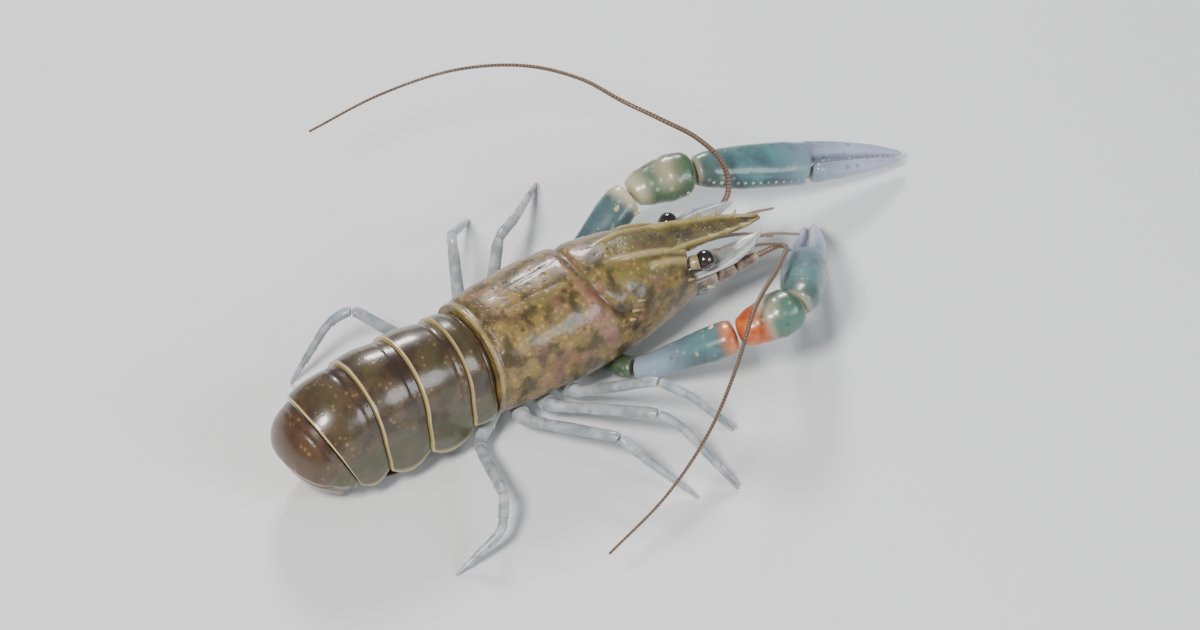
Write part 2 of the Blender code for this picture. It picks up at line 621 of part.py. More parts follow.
def build_leg(name, spec):
    side = 1 if name.endswith("left") else -1
    y, hip, knee, ankle, tip = spec
    points = [(side * ROOT_X, y, ROOT_Z), hip, knee, ankle, tip]
    route = Route(rounded(points, LEG_BEND), (0, 0, 1))
    bend = route.near(knee)
    limb(name + "_upper", route, 0.0, bend, UPPER_SIZES, "leg", LEG_SIDES, (False, True), most=0.25)
    lower = limb(name + "_lower", route, bend, route.length, LOWER_SIZES, "leg", LEG_SIDES, (True, False),
                 most=0.3)
    if name.startswith(PINCERS):
        rows = []
        for share in np.linspace(PINCER_FROM, 0.97, 5):
            centre, _, up, _ = route.frame(bend + (route.length - bend) * share)
            rows.append(centre + up * PINCER_SHIFT)
        finger = simple_tube("finger", rows, (PINCER_RADIUS, PINCER_RADIUS, 0.25), "leg", 5, 4)
        fuse(lower, [finger])
    to_floor(lower)


def abdomen_sizes(q):
    rows = np.array([(b[0], b[1], v[0], v[1], w) for b, v, w in ABDOMEN])
    return curve(np.arange(len(ABDOMEN)), rows, q)


def abdomen_ring(q, flare, drop, shift=0.0):
    """Cross-section at q rings along; drop lets the side plates hang."""
    by, bz, vy, vz, half = abdomen_sizes(q)
    back, belly = np.array((0.0, by, bz)), np.array((0.0, vy, vz))
    height = np.linalg.norm(back - belly)
    rise = (back - belly) / height
    normal = np.cross(rise, (1.0, 0.0, 0.0))
    base = belly + normal * shift
    half, top = half + flare, height + flare
    ring = []
    for j in range(ABDOMEN_ARCH + 1):
        angle = math.pi * j / ABDOMEN_ARCH
        lift = SHOULDER * height + (top - SHOULDER * height) * math.sin(angle) ** 0.9
        ring.append(base + np.array((half * math.cos(angle), 0, 0)) + rise * lift)
    hang, shoulder, wide = 0.02 * height - drop, SHOULDER * height, PLEURON_FLARE * half
    side = ((0.5 * (half + wide), 0.55 * shoulder), (wide, 0.0), (0.97 * wide, hang),
            (0.86 * wide, hang + 0.2),
            (0.76 * half, 0.06 * height))
    low = [(-x, lift) for x, lift in side] + [(x, lift) for x, lift in side[::-1]]
    ring += [base + np.array((x, 0, 0)) + rise * lift for x, lift in low]
    return ring


def build_somite(number):
    drop = PLEURON_DROP[number - 1]
    rings = []
    for t in ABDOMEN_STATIONS:
        lobe = drop * math.sin(math.pi * min(1.0, 0.12 + 0.8 * t)) ** 0.8
        flare = RING_STEP * (t ** 0.7 - 0.6)
        shift = GAP / 2 if t == 0.0 else (-GAP / 2 if t == 1.0 else 0.0)
        rings.append(abdomen_ring(number - 1 + t, flare, lobe, shift))
    body = solid("somite_%d" % number, rings, "abdomen")
    if number in PLEOPODS:
        fuse(body, [pleopod(number, side) for side in (1, -1)])
    to_floor(body)
    return body


def pleopod(number, side):
    _, _, vy, vz, half = abdomen_sizes(number - 0.5)
    front, rear = abdomen_sizes(number - 1), abdomen_sizes(number)
    length = PLEOPODS[number]
    ahead = unit((0.0, front[2] - rear[2], front[3] - rear[3]))
    over = np.cross(ahead, (1.0, 0.0, 0.0))
    root = np.array((side * half * 0.42, vy, vz)) + 1.6 * over
    tip = np.array((side * half * 0.46, vy, vz)) + 0.7 * length * ahead - 0.4 * length * over
    middle = (root + tip) / 2 - 0.2 * over
    return simple_tube("swimmeret", [root, middle, tip], ((0.8, 0.5), (1.4, 0.42), (0.7, 0.3)), "abdomen",
                       6, 5)


def seat(z):
    """y of the tail root at a height: the last ring's end face plus a gap."""
    (by, bz), (vy, vz) = ABDOMEN[-1][:2]
    along = unit((by - vy, bz - vz))
    return by + (z - bz) * along[0] / along[1] - GAP / abs(along[1])


def blade(name, rows, layer):
    """Flat leaf; rows are x, y and half width along it, a layer its underside and thickness."""
    rows, (low, root_thick) = np.array(rows, float), layer
    rings = []
    for k, share in enumerate(np.linspace(0, 1, 9)):
        x, y, half = curve(np.linspace(0, 1, len(rows)), rows, share)
        after, before = (curve(np.linspace(0, 1, len(rows)), rows[:, :2], t)
                         for t in (share + 0.05, share - 0.05))
        run = unit(after - before)
        across = np.array((-run[1], run[0]))
        thick = root_thick * (1.0 - 0.45 * share)
        outline = ((half, 0.0), (half, 0.35 * thick), (0.55 * half, 0.85 * thick), (0.0, thick),
                   (-0.55 * half, 0.85 * thick), (-half, 0.35 * thick), (-half, 0.0))
        ring = []
        for side, z in outline:
            px, py = np.array((x, y)) + across * side
            if k == 0:
                py = seat(low + z)
            ring.append(np.array((px, py, low + z)))
        rings.append(ring)
    return solid(name, rings, "fan")


def build_fan():
    blade("telson", TELSON, TELSON_LAYER)
    for side, word in ((1, "left"), (-1, "right")):
        for name, rows, layer in (("uropod_inner_", ENDOPOD, INNER_LAYER),
                                  ("uropod_outer_", EXOPOD, OUTER_LAYER)):
            blade(name + word, [(x * side, y, half) for x, y, half in rows], layer)


def settle():
    """Bring the bottom centre of the whole box to the origin."""
    parts = [item for item in bpy.data.objects if item.type == "MESH"]
    spots = np.array([tuple(v.co) for item in parts for v in item.data.vertices])
    low, high = spots.min(axis=0), spots.max(axis=0)
    move = -np.array(((low[0] + high[0]) / 2, (low[1] + high[1]) / 2, low[2]))
    for item in parts:
        for vertex in item.data.vertices:
            vertex.co.x += move[0]
            vertex.co.y += move[1]
            vertex.co.z += move[2]


def build():
    clear_scene()
    build_carapace()
    build_sternum()
    for side, word, feeler, claw in ((1, "left", FEELER_LEFT, CLAW_LEFT),
                                     (-1, "right", FEELER_RIGHT, CLAW_RIGHT)):
        build_head(side, word)
        build_feeler(feeler, word)
        build_claw_leg(claw, word, side)
    for name, spec in LEGS.items():
        build_leg(name, spec)
    for number in range(1, len(ABDOMEN)):
        build_somite(number)
    build_fan()
    settle()


build()
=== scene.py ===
"""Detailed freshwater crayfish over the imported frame, with light, floor and camera.

Lengths are millimetres in the modelling frame of the part: head toward -Y,
the animal's left on +X, y = 0 at the rear rim of the carapace.  MM and SHIFT
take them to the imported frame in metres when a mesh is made.
"""
import math

import bmesh
import bpy
import numpy as np
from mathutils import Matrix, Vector


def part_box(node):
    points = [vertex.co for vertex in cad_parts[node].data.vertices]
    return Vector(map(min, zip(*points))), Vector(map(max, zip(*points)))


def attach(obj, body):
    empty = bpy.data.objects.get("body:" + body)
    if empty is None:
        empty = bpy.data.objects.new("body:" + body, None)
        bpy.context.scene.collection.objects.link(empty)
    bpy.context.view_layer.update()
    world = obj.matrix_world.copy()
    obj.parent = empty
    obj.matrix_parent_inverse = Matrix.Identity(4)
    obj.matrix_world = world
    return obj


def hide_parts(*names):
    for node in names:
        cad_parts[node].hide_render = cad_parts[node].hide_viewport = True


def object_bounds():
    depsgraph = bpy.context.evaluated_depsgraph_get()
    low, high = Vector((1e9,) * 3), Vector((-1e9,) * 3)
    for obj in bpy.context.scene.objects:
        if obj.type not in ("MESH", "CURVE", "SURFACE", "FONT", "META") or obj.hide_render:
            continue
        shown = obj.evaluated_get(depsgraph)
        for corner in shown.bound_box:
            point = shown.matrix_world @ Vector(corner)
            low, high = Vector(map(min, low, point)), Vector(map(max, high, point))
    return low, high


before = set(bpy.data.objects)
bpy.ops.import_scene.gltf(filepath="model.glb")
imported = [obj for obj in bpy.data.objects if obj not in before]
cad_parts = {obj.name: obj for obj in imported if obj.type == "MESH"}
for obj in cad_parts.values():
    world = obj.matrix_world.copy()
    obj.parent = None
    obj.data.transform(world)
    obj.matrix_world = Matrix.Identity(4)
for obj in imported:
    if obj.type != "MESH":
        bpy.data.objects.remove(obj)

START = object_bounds()
RNG = np.random.default_rng(7)
MM = 0.001
SHELL_LOW, SHELL_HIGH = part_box("carapace")
SHIFT = np.array(((SHELL_LOW.x + SHELL_HIGH.x) / 2, SHELL_HIGH.y, 0.0))
GAP = 0.3                       # clear space between two neighbouring parts
OVERLAP = 0.08                  # how far one dressed length slips under the next

# Carapace: y, half width, top, height of the widest line, underside
CARAPACE = (
    (0.0, 11.7, 25.5, 14.4, 7.2),
    (-4.0, 12.3, 26.2, 14.6, 7.2),
    (-13.0, 12.8, 27.0, 15.0, 7.2),
    (-22.0, 12.9, 27.3, 15.2, 7.2),
    (-29.0, 12.1, 27.0, 15.3, 7.2),
    (-37.0, 10.9, 26.0, 15.3, 7.5),
    (-44.0, 9.5, 24.0, 15.2, 8.4),
    (-49.8, 8.2, 21.4, 14.9, 9.5),
)
FRONT = CARAPACE[-1][0]
FOOT, POWER = 0.80, 2.25        # underside width as a share; 2 is an ellipse, more is fuller
# Neck groove: where it crosses the back, how far forward it runs down the flank, depth, half width
GROOVE_Y, GROOVE_FORWARD, GROOVE_DEPTH, GROOVE_HALF = -25.0, 11.0, 0.75, 1.15
# Thorns on the flank and beside the orbit: y, degrees over the widest line, length
THORNS = ((-33.6, 24, 1.95), (-32.2, 16, 1.65), (-31.2, 8, 1.35), (-47.5, 12, 1.5))
THORN_RADIUS = 0.5
# Keels on the head: start y, end y, distance from the middle at each, width
BEAK_KEEL, BROW_KEEL = (-31.0, -49.5, 3.0, 4.2, 0.55), (-38.5, -49.0, 6.3, 6.0, 0.62)
ORBIT_X, ORBIT_Z, ORBIT_DEPTH = 6.3, 18.3, 1.9
# Rings that close the shell in front: share of the last one's size, how far back each lies
FRONT_RINGS = ((0.94, 0.1), (0.84, 0.7), (0.6, 1.2), (0.25, 1.3))
# Painted shade on each closing ring, darker deeper inside the opening
FRONT_SHADE = (0.2, 0.6, 0.8, 0.9)

# Rostrum: y, half width, height of the edges
ROSTRUM = (
    (-45.0, 4.8, 22.9), (-50.0, 4.2, 21.9), (-56.0, 3.5, 20.2),
    (-62.0, 2.7, 18.4), (-67.5, 1.6, 16.6), (-71.0, 0.45, 15.6),
)
ROSTRUM_SPINES, SPINE_LENGTH = (-57.0, -61.5, -65.8), 2.2
ROSTRUM_DEPTH, ROSTRUM_DISH = (4.2, 0.8), 0.8

# Underside between the legs
STERNUM_Y, STERNUM_HALF, STERNUM_Z = (-33.5, -0.4), 5.0, (2.7, 6.9)
STERNUM_WAIST = ((-33.5, 0.75), (-25.0, 0.97), (-8.0, 1.0), (-0.4, 0.8))     # y, share of the width
ROOT_X, ROOT_Z, HEAD_Y = 5.3, 4.5, FRONT - GAP

# Head parts
EYE_RADIUS, EYE_CENTRE, EYE_ROOT = 2.05, (6.6, -52.9, 18.3), (5.2, 17.5)
ANTENNULE = ((2.0, HEAD_Y, 14.3), (2.1, -54.5, 14.1), (2.3, -59.5, 13.6))
FILAMENTS = (
    ((2.4, -58.0, 13.9), (2.9, -64.0, 14.2), (3.6, -71.0, 13.2), (4.6, -78.0, 10.2)),
    ((2.3, -58.0, 13.4), (2.3, -64.0, 11.8), (1.9, -70.0, 9.4), (1.3, -75.5, 6.2)),
)
PEDUNCLE = ((5.3, HEAD_Y, 11.8), (6.0, -57.5, 12.1), (7.4, -65.5, 13.4))
SCALE_AXIS = ((6.0, HEAD_Y, 14.85), (6.6, -58.0, 15.9), (5.2, -67.8, 16.9))
MAXILLIPED = ((2.45, -33.9, 4.8), (2.6, -44.0, 6.2), (2.5, -51.0, 6.6), (2.2, -57.0, 3.6))
# Segments of the head's limbs: shares of the length where each begins and ends
ANTENNULE_CUTS, PEDUNCLE_CUTS = (0.0, 0.42, 0.72, 1.0), (0.0, 0.38, 0.66, 1.0)
JAW_CUTS = (0.0, 0.36, 0.66, 0.83, 1.0)
# Antennule: half width and height where its first segment begins and ends, less a step for each next one
ANTENNULE_RADIUS, ANTENNULE_STEP = (1.25, 1.15, 1.2, 1.1), 0.14
# Share of the length, half width, half height
STALK_SIZES = ((0.0, 1.35, 1.35), (0.5, 1.5, 1.5), (1.0, 1.85, 1.85))
FILAMENT_SIZES = ((0.0, 0.5, 0.5), (1.0, 0.27, 0.27))
PEDUNCLE_SIZES = ((0.0, 2.0, 2.0), (0.5, 1.85, 1.85), (1.0, 1.15, 1.15))
JAW_SIZES = ((0.0, 1.95, 1.95), (0.33, 2.0, 2.0), (0.66, 1.6, 1.6), (1.0, 0.5, 0.5))
SCALE_HALF = ((0.0, 1.4), (0.5, 2.4), (0.8, 1.8), (1.0, 0.3))     # share of the length, half width
PEDUNCLE_SPINE = (7.2, -53.0, 11.2)

# Whips of the antennae, and the shares of their length where the four nodes meet
FEELERS = {
    "left": ((7.4, -65.5, 13.4), (9.0, -69.6, 15.6), (11.6, -70.3, 21.0), (15.4, -66.3, 27.8),
             (20.5, -61.2, 31.6), (28.0, -56.5, 33.6), (38.0, -53.0, 34.0), (50.0, -46.5, 32.0),
             (60.0, -36.0, 28.5), (66.5, -22.0, 24.0), (69.5, -6.5, 19.5)),
    "right": ((-7.4, -65.5, 13.4), (-9.2, -69.0, 15.4), (-13.0, -68.4, 18.6), (-19.6, -61.5, 21.8),
              (-28.0, -50.0, 24.0), (-38.0, -38.5, 22.5), (-47.0, -25.5, 19.0), (-53.0, -11.0, 14.5),
              (-56.0, 4.5, 10.0)),
}
FEELER_RADIUS, FEELER_CUTS = (0.64, 0.26), (0.14, 0.36, 0.65)
RING_SHARE = 0.013              # turns the millimetres along a feeler into its ring pattern

# Claw legs: root, hip, elbow, wrist, fingertip
CLAWS = {
    "left": ((ROOT_X, -27.0, ROOT_Z), (14.0, -30.3, 5.1), (20.5, -53.0, 15.8),
             (17.8, -66.5, 16.8), (8.1, -113.9, 2.9)),
    "right": ((-ROOT_X, -27.0, ROOT_Z), (-14.0, -30.8, 5.1), (-25.0, -48.2, 15.0),
              (-27.9, -61.4, 18.6), (2.2, -85.6, 2.7)),
}
ARM_BEND = 4.3
# Share of the length, half width, half height and, on the hand, the sideways shift
HIP_SIZES = ((0.0, 2.1, 2.0), (0.6, 2.5, 2.2), (1.0, 2.5, 2.2))
MERUS_SIZES = ((0.0, 2.3, 2.1), (0.25, 3.0, 2.5), (0.75, 4.0, 3.3), (0.92, 3.9, 3.3), (1.0, 3.2, 2.7))
CARPUS_SIZES = ((0.0, 2.8, 2.4), (0.2, 3.9, 3.5), (0.65, 4.9, 4.6), (0.88, 4.5, 4.3), (1.0, 3.3, 3.2))
PALM_SIZES = ((0.0, 2.8, 2.6, 0.0), (0.06, 3.8, 3.3, 0.0), (0.22, 4.6, 3.8, 0.0),
              (0.44, 4.75, 3.8, 0.0), (0.52, 4.5, 3.5, 0.0))
FIXED_SIZES = ((0.535, 2.2, 3.1, 2.35), (0.7, 1.85, 2.4, 2.25), (0.85, 1.4, 1.75, 1.75),
               (1.0, 0.5, 0.6, 0.8))
MOVING_SIZES = ((0.54, 1.45, 2.5, -2.4), (0.58, 1.8, 2.7, -2.45), (0.72, 1.65, 2.2, -1.95),
                (0.86, 1.25, 1.65, -1.35), (0.985, 0.45, 0.55, -0.75))
# Spines of arm and wrist: share of the length, how far up each one leans, length
ARM_SPINES, ARM_SPINE_OUT = ((0.86, 0.15, 2.6), (0.62, -0.3, 1.6), (0.8, 0.8, 1.6)), 2.8
WRIST_SPINES, WRIST_SPINE_OUT = ((0.72, 0.1, 2.6), (0.45, -0.1, 1.3), (0.85, 0.7, 1.2)), 3.2

# Walking legs: root y, then hip, knee, ankle and tip
LEGS = {
    "leg_2_left": (-16.4, (12.0, -18.0, 5.0), (20.0, -26.0, 7.4), (21.6, -34.0, 7.2), (20.0, -51.0, 0.0)),
    "leg_3_left": (-11.5, (12.0, -11.8, 5.0), (27.0, -25.0, 13.0), (31.6, -32.2, 11.0), (47.0, -47.6, 0.0)),
    "leg_4_left": (-6.8, (12.0, -6.4, 5.0), (29.2, -15.3, 14.0), (34.0, -18.0, 12.0), (46.0, -30.0, 0.0)),
    "leg_5_left": (-2.2, (12.6, 0.2, 5.0), (25.8, 11.5, 14.0), (27.6, 16.0, 11.0), (26.6, 26.0, 0.0)),
    "leg_2_right": (-16.4, (-12.0, -17.5, 5.0), (-28.2, -26.3, 17.0), (-33.0, -31.8, 13.0),
                    (-34.6, -40.4, 0.0)),
    "leg_3_right": (-11.5, (-12.0, -11.0, 5.0), (-31.8, -24.2, 12.0), (-35.7, -27.5, 9.0),
                    (-48.4, -31.9, 0.0)),
    "leg_4_right": (-6.8, (-12.5, -4.6, 5.0), (-31.5, -15.2, 10.0), (-35.3, -17.0, 7.5),
                    (-46.0, -24.0, 0.0)),
    "leg_5_right": (-2.2, (-12.4, 6.2, 4.4), (-30.4, 11.9, 9.0), (-35.8, 16.0, 5.6), (-36.2, 27.2, 0.0)),
}
LEG_BEND, KNEE_GAP = 2.4, 0.06
# Share of the length, half width, half height
UPPER_SIZES = ((0.0, 1.95, 1.8), (0.2, 1.75, 1.6), (0.32, 1.2, 1.1), (0.62, 1.35, 1.1),
               (0.93, 1.2, 1.0), (1.0, 0.95, 0.85))
LOWER_SIZES = ((0.0, 0.95, 0.85), (0.08, 1.12, 0.98), (0.24, 1.0, 0.88), (0.5, 0.86, 0.76),
               (0.74, 0.72, 0.64), (0.88, 0.5, 0.46), (1.0, 0.3, 0.3))
# Segments of each leg node, in shares of its length
UPPER_CUTS, LOWER_CUTS, SLIP = (0.0, 0.2, 0.42, 1.0), (0.0, 0.25, 0.74, 1.0), 0.35
PINCERS, PINCER_FROM, PINCER_SHIFT = ("leg_2", "leg_3"), 0.74, 0.7
PINCER_SIZES = ((0.0, 0.42, 0.42), (0.6, 0.4, 0.4), (1.0, 0.25, 0.25))

# Abdomen, one row for each joint: back (y, z), belly (y, z), half width
ABDOMEN = (
    ((0.3, 25.0), (0.3, 8.6), 10.5),
    ((6.0, 26.0), (6.0, 8.2), 10.4),
    ((16.8, 26.9), (16.3, 8.0), 10.5),
    ((27.9, 26.3), (25.9, 8.0), 10.3),
    ((39.3, 22.0), (33.1, 7.6), 9.8),
    ((44.2, 11.2), (35.4, 6.9), 8.8),
    ((36.0, 0.25), (32.4, 3.2), 6.6),
)
SHOULDER, RING_STEP, FLARE = 0.36, 0.55, 1.07
# For each ring: how far its side plates hang below the belly, and how red it is
PLEURON_DROP = (1.4, 4.3, 4.2, 3.7, 2.2, 0.8)
REDNESS = (0.1, 0.1, 0.1, 0.25, 0.7, 1.0)
# Side plate: share of the way down, share of the half width
SIDE_BULGE = ((0.0, 1.0), (0.25, 0.5 + FLARE / 2), (0.55, FLARE), (0.9, 0.99 * FLARE), (1.0, 0.96 * FLARE))
# Underside, from the side to the middle: shares of the half width, then of the height; the hem's rise in mm
BELLY_X = (0.97, 0.90, 0.82, 0.76, 0.5, 0.25)
BELLY_RISE, HEM_RISE, MIDDLE_RISE = (0.03, 0.06, 0.07, 0.06), 0.15, 0.055
PLEOPODS = {2: 4.6, 3: 4.4, 4: 3.8, 5: 2.6}      # length of the swimmerets of each ring
SWIMMERET_SIZES = ((0.0, 0.8, 0.5), (0.5, 1.4, 0.42), (1.0, 0.7, 0.3))

# Tail fan: x, y and half width along each leaf, then its underside and thickness
TELSON = ((0.0, 36.0, 2.8), (0.0, 32.3, 3.6), (0.0, 26.0, 3.9), (0.0, 20.0, 3.4), (0.0, 17.2, 1.9))
ENDOPOD = ((3.0, 33.6, 1.0), (3.5, 30.5, 1.6), (4.1, 26.0, 2.1), (4.6, 20.8, 1.8), (4.9, 18.2, 0.8))
EXOPOD = ((4.7, 32.3, 0.7), (5.3, 29.5, 1.2), (6.2, 25.6, 1.6), (6.9, 21.6, 1.5), (7.2, 19.2, 0.7))
TELSON_LAYER, INNER_LAYER, OUTER_LAYER = (0.0, 1.0), (1.3, 0.7), (2.3, 0.7)
TELSON_RIBS, INNER_RIBS, OUTER_RIBS = (0.55, -0.55), (0.0,), (0.1,)
LEAF_STATIONS, FRINGE_FROM = 70, 40

# Hairs: length, radius
ANTENNA_HAIR, JAW_HAIR, LEG_HAIR, FAN_HAIR = (1.5, 0.05), (1.8, 0.06), (0.8, 0.04), (1.3, 0.045)
# Radii of the pale grains on the palm, an upper and a lower row, and of the teeth of the fingers
PALM_GRAINS, TOOTH_RADIUS = (0.42, 0.32), 0.34

# Wet film and soft translucency that all paints share
COAT_ROUGHNESS, SKIN_RADIUS, SKIN_DEPTH = 0.12, (1.0, 0.8, 0.7), 0.8

# Camera: the photograph's line of sight, closer in
AZIMUTH, ELEVATION, DISTANCE, LENS = math.radians(-124.4), math.radians(45.0), 1.2, 178.0
AIM_SHIFT, AIM_HEIGHT = Vector((-0.0075, 0.0038, 0.0)), 0.010

# Lamps: name, place, size, power, tint; all face the middle of the floor
LAMPS = (("key", (-0.25, 0.55, 0.75), 0.24, 11.0, (1.0, 0.98, 0.95)),
         ("fill", (-0.7, -0.35, 0.45), 0.45, 4.5, (0.92, 0.96, 1.0)),
         ("back", (0.65, -0.35, 0.5), 0.2, 5.0, (1.0, 1.0, 1.0)))
FLOOR_SIZE, FLOOR_COLOUR = 8.0, (0.72, 0.725, 0.73, 1.0)
SKY_TINT, SKY_STRENGTH = (0.80, 0.83, 0.86, 1.0), 0.30


# Shader graphs

class Val:
    """A socket with arithmetic, so that graphs read like sums."""

    def __init__(self, tree, socket):
        self.tree, self.socket = tree, socket

    def math(self, kind, *others):
        node = self.tree.nodes.new("ShaderNodeMath")
        node.operation = kind
        for slot, value in zip(node.inputs, (self,) + others):
            feed(self.tree, slot, value)
        return Val(self.tree, node.outputs[0])

    def __add__(self, other):
        return self.math("ADD", other)

    __radd__ = __add__

    def __mul__(self, other):
        return self.math("MULTIPLY", other)

    __rmul__ = __mul__


def feed(tree, slot, value):
    """Links a graph value to a socket, or sets a plain one on it."""
    if isinstance(value, Val):
        tree.links.new(value.socket, slot)
    else:
        slot.default_value = value


class Paint:
    def __init__(self, name):
        self.made = bpy.data.materials.new(name)
        self.made.use_nodes = True
        self.tree = self.made.node_tree
        self.shader = self.tree.nodes["Principled BSDF"]

    def add(self, kind, out=0, settings=None, **values):
        node = self.tree.nodes.new("ShaderNode" + kind)
        for key, value in (settings or {}).items():
            setattr(node, key, value)
        for key, value in values.items():
            numbered = key[0] == "i" and key[1:].isdigit()
            feed(self.tree, node.inputs[int(key[1:]) if numbered else key], value)
        return Val(self.tree, node.outputs[out])

    def tag(self, name):
        return self.add("Attribute", "Fac", {"attribute_name": name})

    def spot(self):
        return self.add("TexCoord", "Object")

    def noise(self, scale, detail=3.0):
        return self.add("TexNoise", 0, None, Vector=self.spot(), Scale=scale, Detail=detail, Roughness=0.55)

    def cells(self, scale, feature="F1"):
        return self.add("TexVoronoi", "Distance", {"feature": feature}, Vector=self.spot(), Scale=scale)

    def step(self, value, low, high):
        return self.add("MapRange", 0, {"interpolation_type": "SMOOTHSTEP"}, i0=value, i1=low, i2=high)

    def mix(self, share, first, second):
        return self.add("Mix", 2, {"data_type": "RGBA"}, i0=share, i6=first, i7=second)

    def finish(self, colour, rough=0.35, relief=None, depth=0.1, coat=0.0, skin=0.0, ior=1.5):
        feed(self.tree, self.shader.inputs["Base Color"], colour)
        feed(self.tree, self.shader.inputs["Roughness"], rough)
        self.shader.inputs["Coat Weight"].default_value = coat
        self.shader.inputs["Coat Roughness"].default_value = COAT_ROUGHNESS
        self.shader.inputs["IOR"].default_value = ior
        if skin:
            self.shader.inputs["Subsurface Weight"].default_value = skin
            self.shader.inputs["Subsurface Radius"].default_value = SKIN_RADIUS
            self.shader.inputs["Subsurface Scale"].default_value = SKIN_DEPTH * MM
        if relief is not None:
            bump = self.add("Bump", 0, None, Height=relief, Distance=depth * MM, Strength=1.0)
            feed(self.tree, self.shader.inputs["Normal"], bump)
        return self.made


def rgb(red, green, blue):
    return (red, green, blue, 1.0)


def shell_paint():
    p = Paint("shell_wet")
    broad, fleck, fine = p.noise(70.0, 2.0), p.noise(270.0, 3.0), p.noise(700.0, 3.0)
    base = p.mix(p.step(fleck, 0.36, 0.62), rgb(0.055, 0.036, 0.012), rgb(0.215, 0.142, 0.042))
    base = p.mix(p.step(broad, 0.45, 0.68) * 0.6, base, rgb(0.092, 0.078, 0.020))
    pink = p.step(p.noise(150.0, 2.0), 0.46, 0.62) * p.tag("blush")
    base = p.mix(pink * 0.75, base, rgb(0.300, 0.135, 0.096))
    base = p.mix(p.tag("green") * p.step(fleck, 0.30, 0.60) * 0.75, base, rgb(0.130, 0.130, 0.024))
    dots = p.step(p.cells(620.0), 0.36, 0.16) * p.step(fleck, 0.40, 0.56)
    base = p.mix(dots * 0.55, base, rgb(0.42, 0.27, 0.075))
    dark = p.step(p.cells(360.0), 0.26, 0.06) * 0.65
    base = p.mix(dark, base, rgb(0.026, 0.017, 0.008))
    # Painted shade: darker in the grooves, the troughs by the head keels, the underside and the front
    # opening
    base = p.mix(p.tag("hollow") * 0.7, base, rgb(0.030, 0.020, 0.009))
    base = p.mix(p.tag("pale") * (fleck * 0.6 + 0.55), base, rgb(0.44, 0.34, 0.13))
    base = p.mix(p.tag("under") * 0.8, base, rgb(0.23, 0.19, 0.12))
    relief = p.step(p.cells(760.0), 0.0, 0.34) + p.step(p.cells(380.0), 0.05, 0.3) * 0.8 + fine * 0.5
    return p.finish(base, 0.31 + fine * 0.16, relief, 0.10, 0.3, 0.04)


def abdomen_paint():
    p = Paint("abdomen_wet")
    broad, fleck, fine = p.noise(80.0, 2.0), p.noise(250.0, 3.0), p.noise(700.0, 3.0)
    base = p.mix(p.step(fleck, 0.35, 0.64), rgb(0.024, 0.014, 0.010), rgb(0.074, 0.045, 0.022))
    base = p.mix(p.tag("green") * p.step(broad, 0.35, 0.6) * 0.75, base, rgb(0.055, 0.052, 0.018))
    base = p.mix(p.tag("red") * 0.6, base, rgb(0.105, 0.036, 0.020))
    dots = p.step(p.cells(640.0), 0.34, 0.12) * p.step(fleck, 0.44, 0.58)
    base = p.mix(dots * 0.4, base, rgb(0.34, 0.22, 0.08))
    # Painted shade: darker in each ring's crease and front, a little on the side plates and underside
    base = p.mix(p.tag("hollow") * 0.75, base, rgb(0.024, 0.014, 0.010))
    base = p.mix(p.tag("side") * 0.8, base, rgb(0.068, 0.071, 0.034))
    base = p.mix(p.tag("pale"), base, rgb(0.55, 0.43, 0.19))
    base = p.mix(p.tag("under") * 0.85, base, rgb(0.24, 0.21, 0.15))
    relief = p.step(p.cells(800.0), 0.0, 0.3) * 0.6 + fine * 0.5
    return p.finish(base, 0.24 + fine * 0.14, relief, 0.05, 0.4, 0.04)


def claw_paint():
    p = Paint("claw_wet")
    broad, fleck, fine = p.noise(110.0, 3.0), p.noise(330.0, 3.0), p.noise(760.0, 3.0)
    base = p.mix(p.step(broad, 0.34, 0.64), rgb(0.012, 0.056, 0.056), rgb(0.040, 0.165, 0.158))
    base = p.mix(p.tag("olive") * (fleck * 0.8 + 0.5), base, rgb(0.072, 0.100, 0.030))
    base = p.mix(p.tag("tip"), base, rgb(0.37, 0.39, 0.52))
    spots = p.step(p.cells(430.0), 0.30, 0.12) * p.step(fleck, 0.44, 0.6)
    base = p.mix(spots * 0.5, base, rgb(0.42, 0.47, 0.32))
    dark = p.step(p.cells(300.0), 0.24, 0.05) * 0.45
    base = p.mix(dark, base, rgb(0.010, 0.032, 0.028))
    flesh = p.mix(p.step(fleck, 0.35, 0.62), rgb(0.115, 0.062, 0.040), rgb(0.34, 0.22, 0.16))
    base = p.mix(p.tag("flesh"), base, flesh)
    orange = p.mix(p.step(fleck, 0.35, 0.65), rgb(0.36, 0.055, 0.012), rgb(0.52, 0.135, 0.028))
    base = p.mix(p.tag("warm"), base, orange)
    base = p.mix(p.tag("pale"), base, rgb(0.50, 0.44, 0.29))
    # Painted shade: darker over the hip pieces of the claw legs
    base = p.mix(p.tag("hollow") * 0.7, base, rgb(0.014, 0.034, 0.028))
    relief = p.step(p.cells(640.0), 0.0, 0.3) + fine * 0.5
    return p.finish(base, 0.27 + fine * 0.16, relief, 0.06, 0.35, 0.05)


def leg_paint():
    p = Paint("leg_damp")
    fine = p.noise(300.0, 3.0)
    base = p.mix(p.step(fine, 0.35, 0.65), rgb(0.25, 0.27, 0.285), rgb(0.47, 0.48, 0.475))
    base = p.mix(p.tag("blue") * 0.5, base, rgb(0.14, 0.23, 0.29))
    base = p.mix(p.tag("warm") * 0.5, base, rgb(0.42, 0.29, 0.17))
    # Painted shade: darker in the joint creases of the legs and over the antennal scales
    base = p.mix(p.tag("hollow") * 0.6, base, rgb(0.17, 0.15, 0.12))
    return p.finish(base, 0.33, p.cells(900.0) + fine, 0.03, 0.25, 0.2)


def feeler_paint():
    p = Paint("feeler_damp")
    rings = (p.tag("along") * 620.0).math("SINE")
    base = p.mix(p.step(rings, -0.4, 0.8), rgb(0.055, 0.026, 0.014), rgb(0.150, 0.078, 0.040))
    base = p.mix(p.tag("pale"), base, rgb(0.46, 0.36, 0.27))
    return p.finish(base, 0.36, rings, 0.03, 0.2, 0.05)


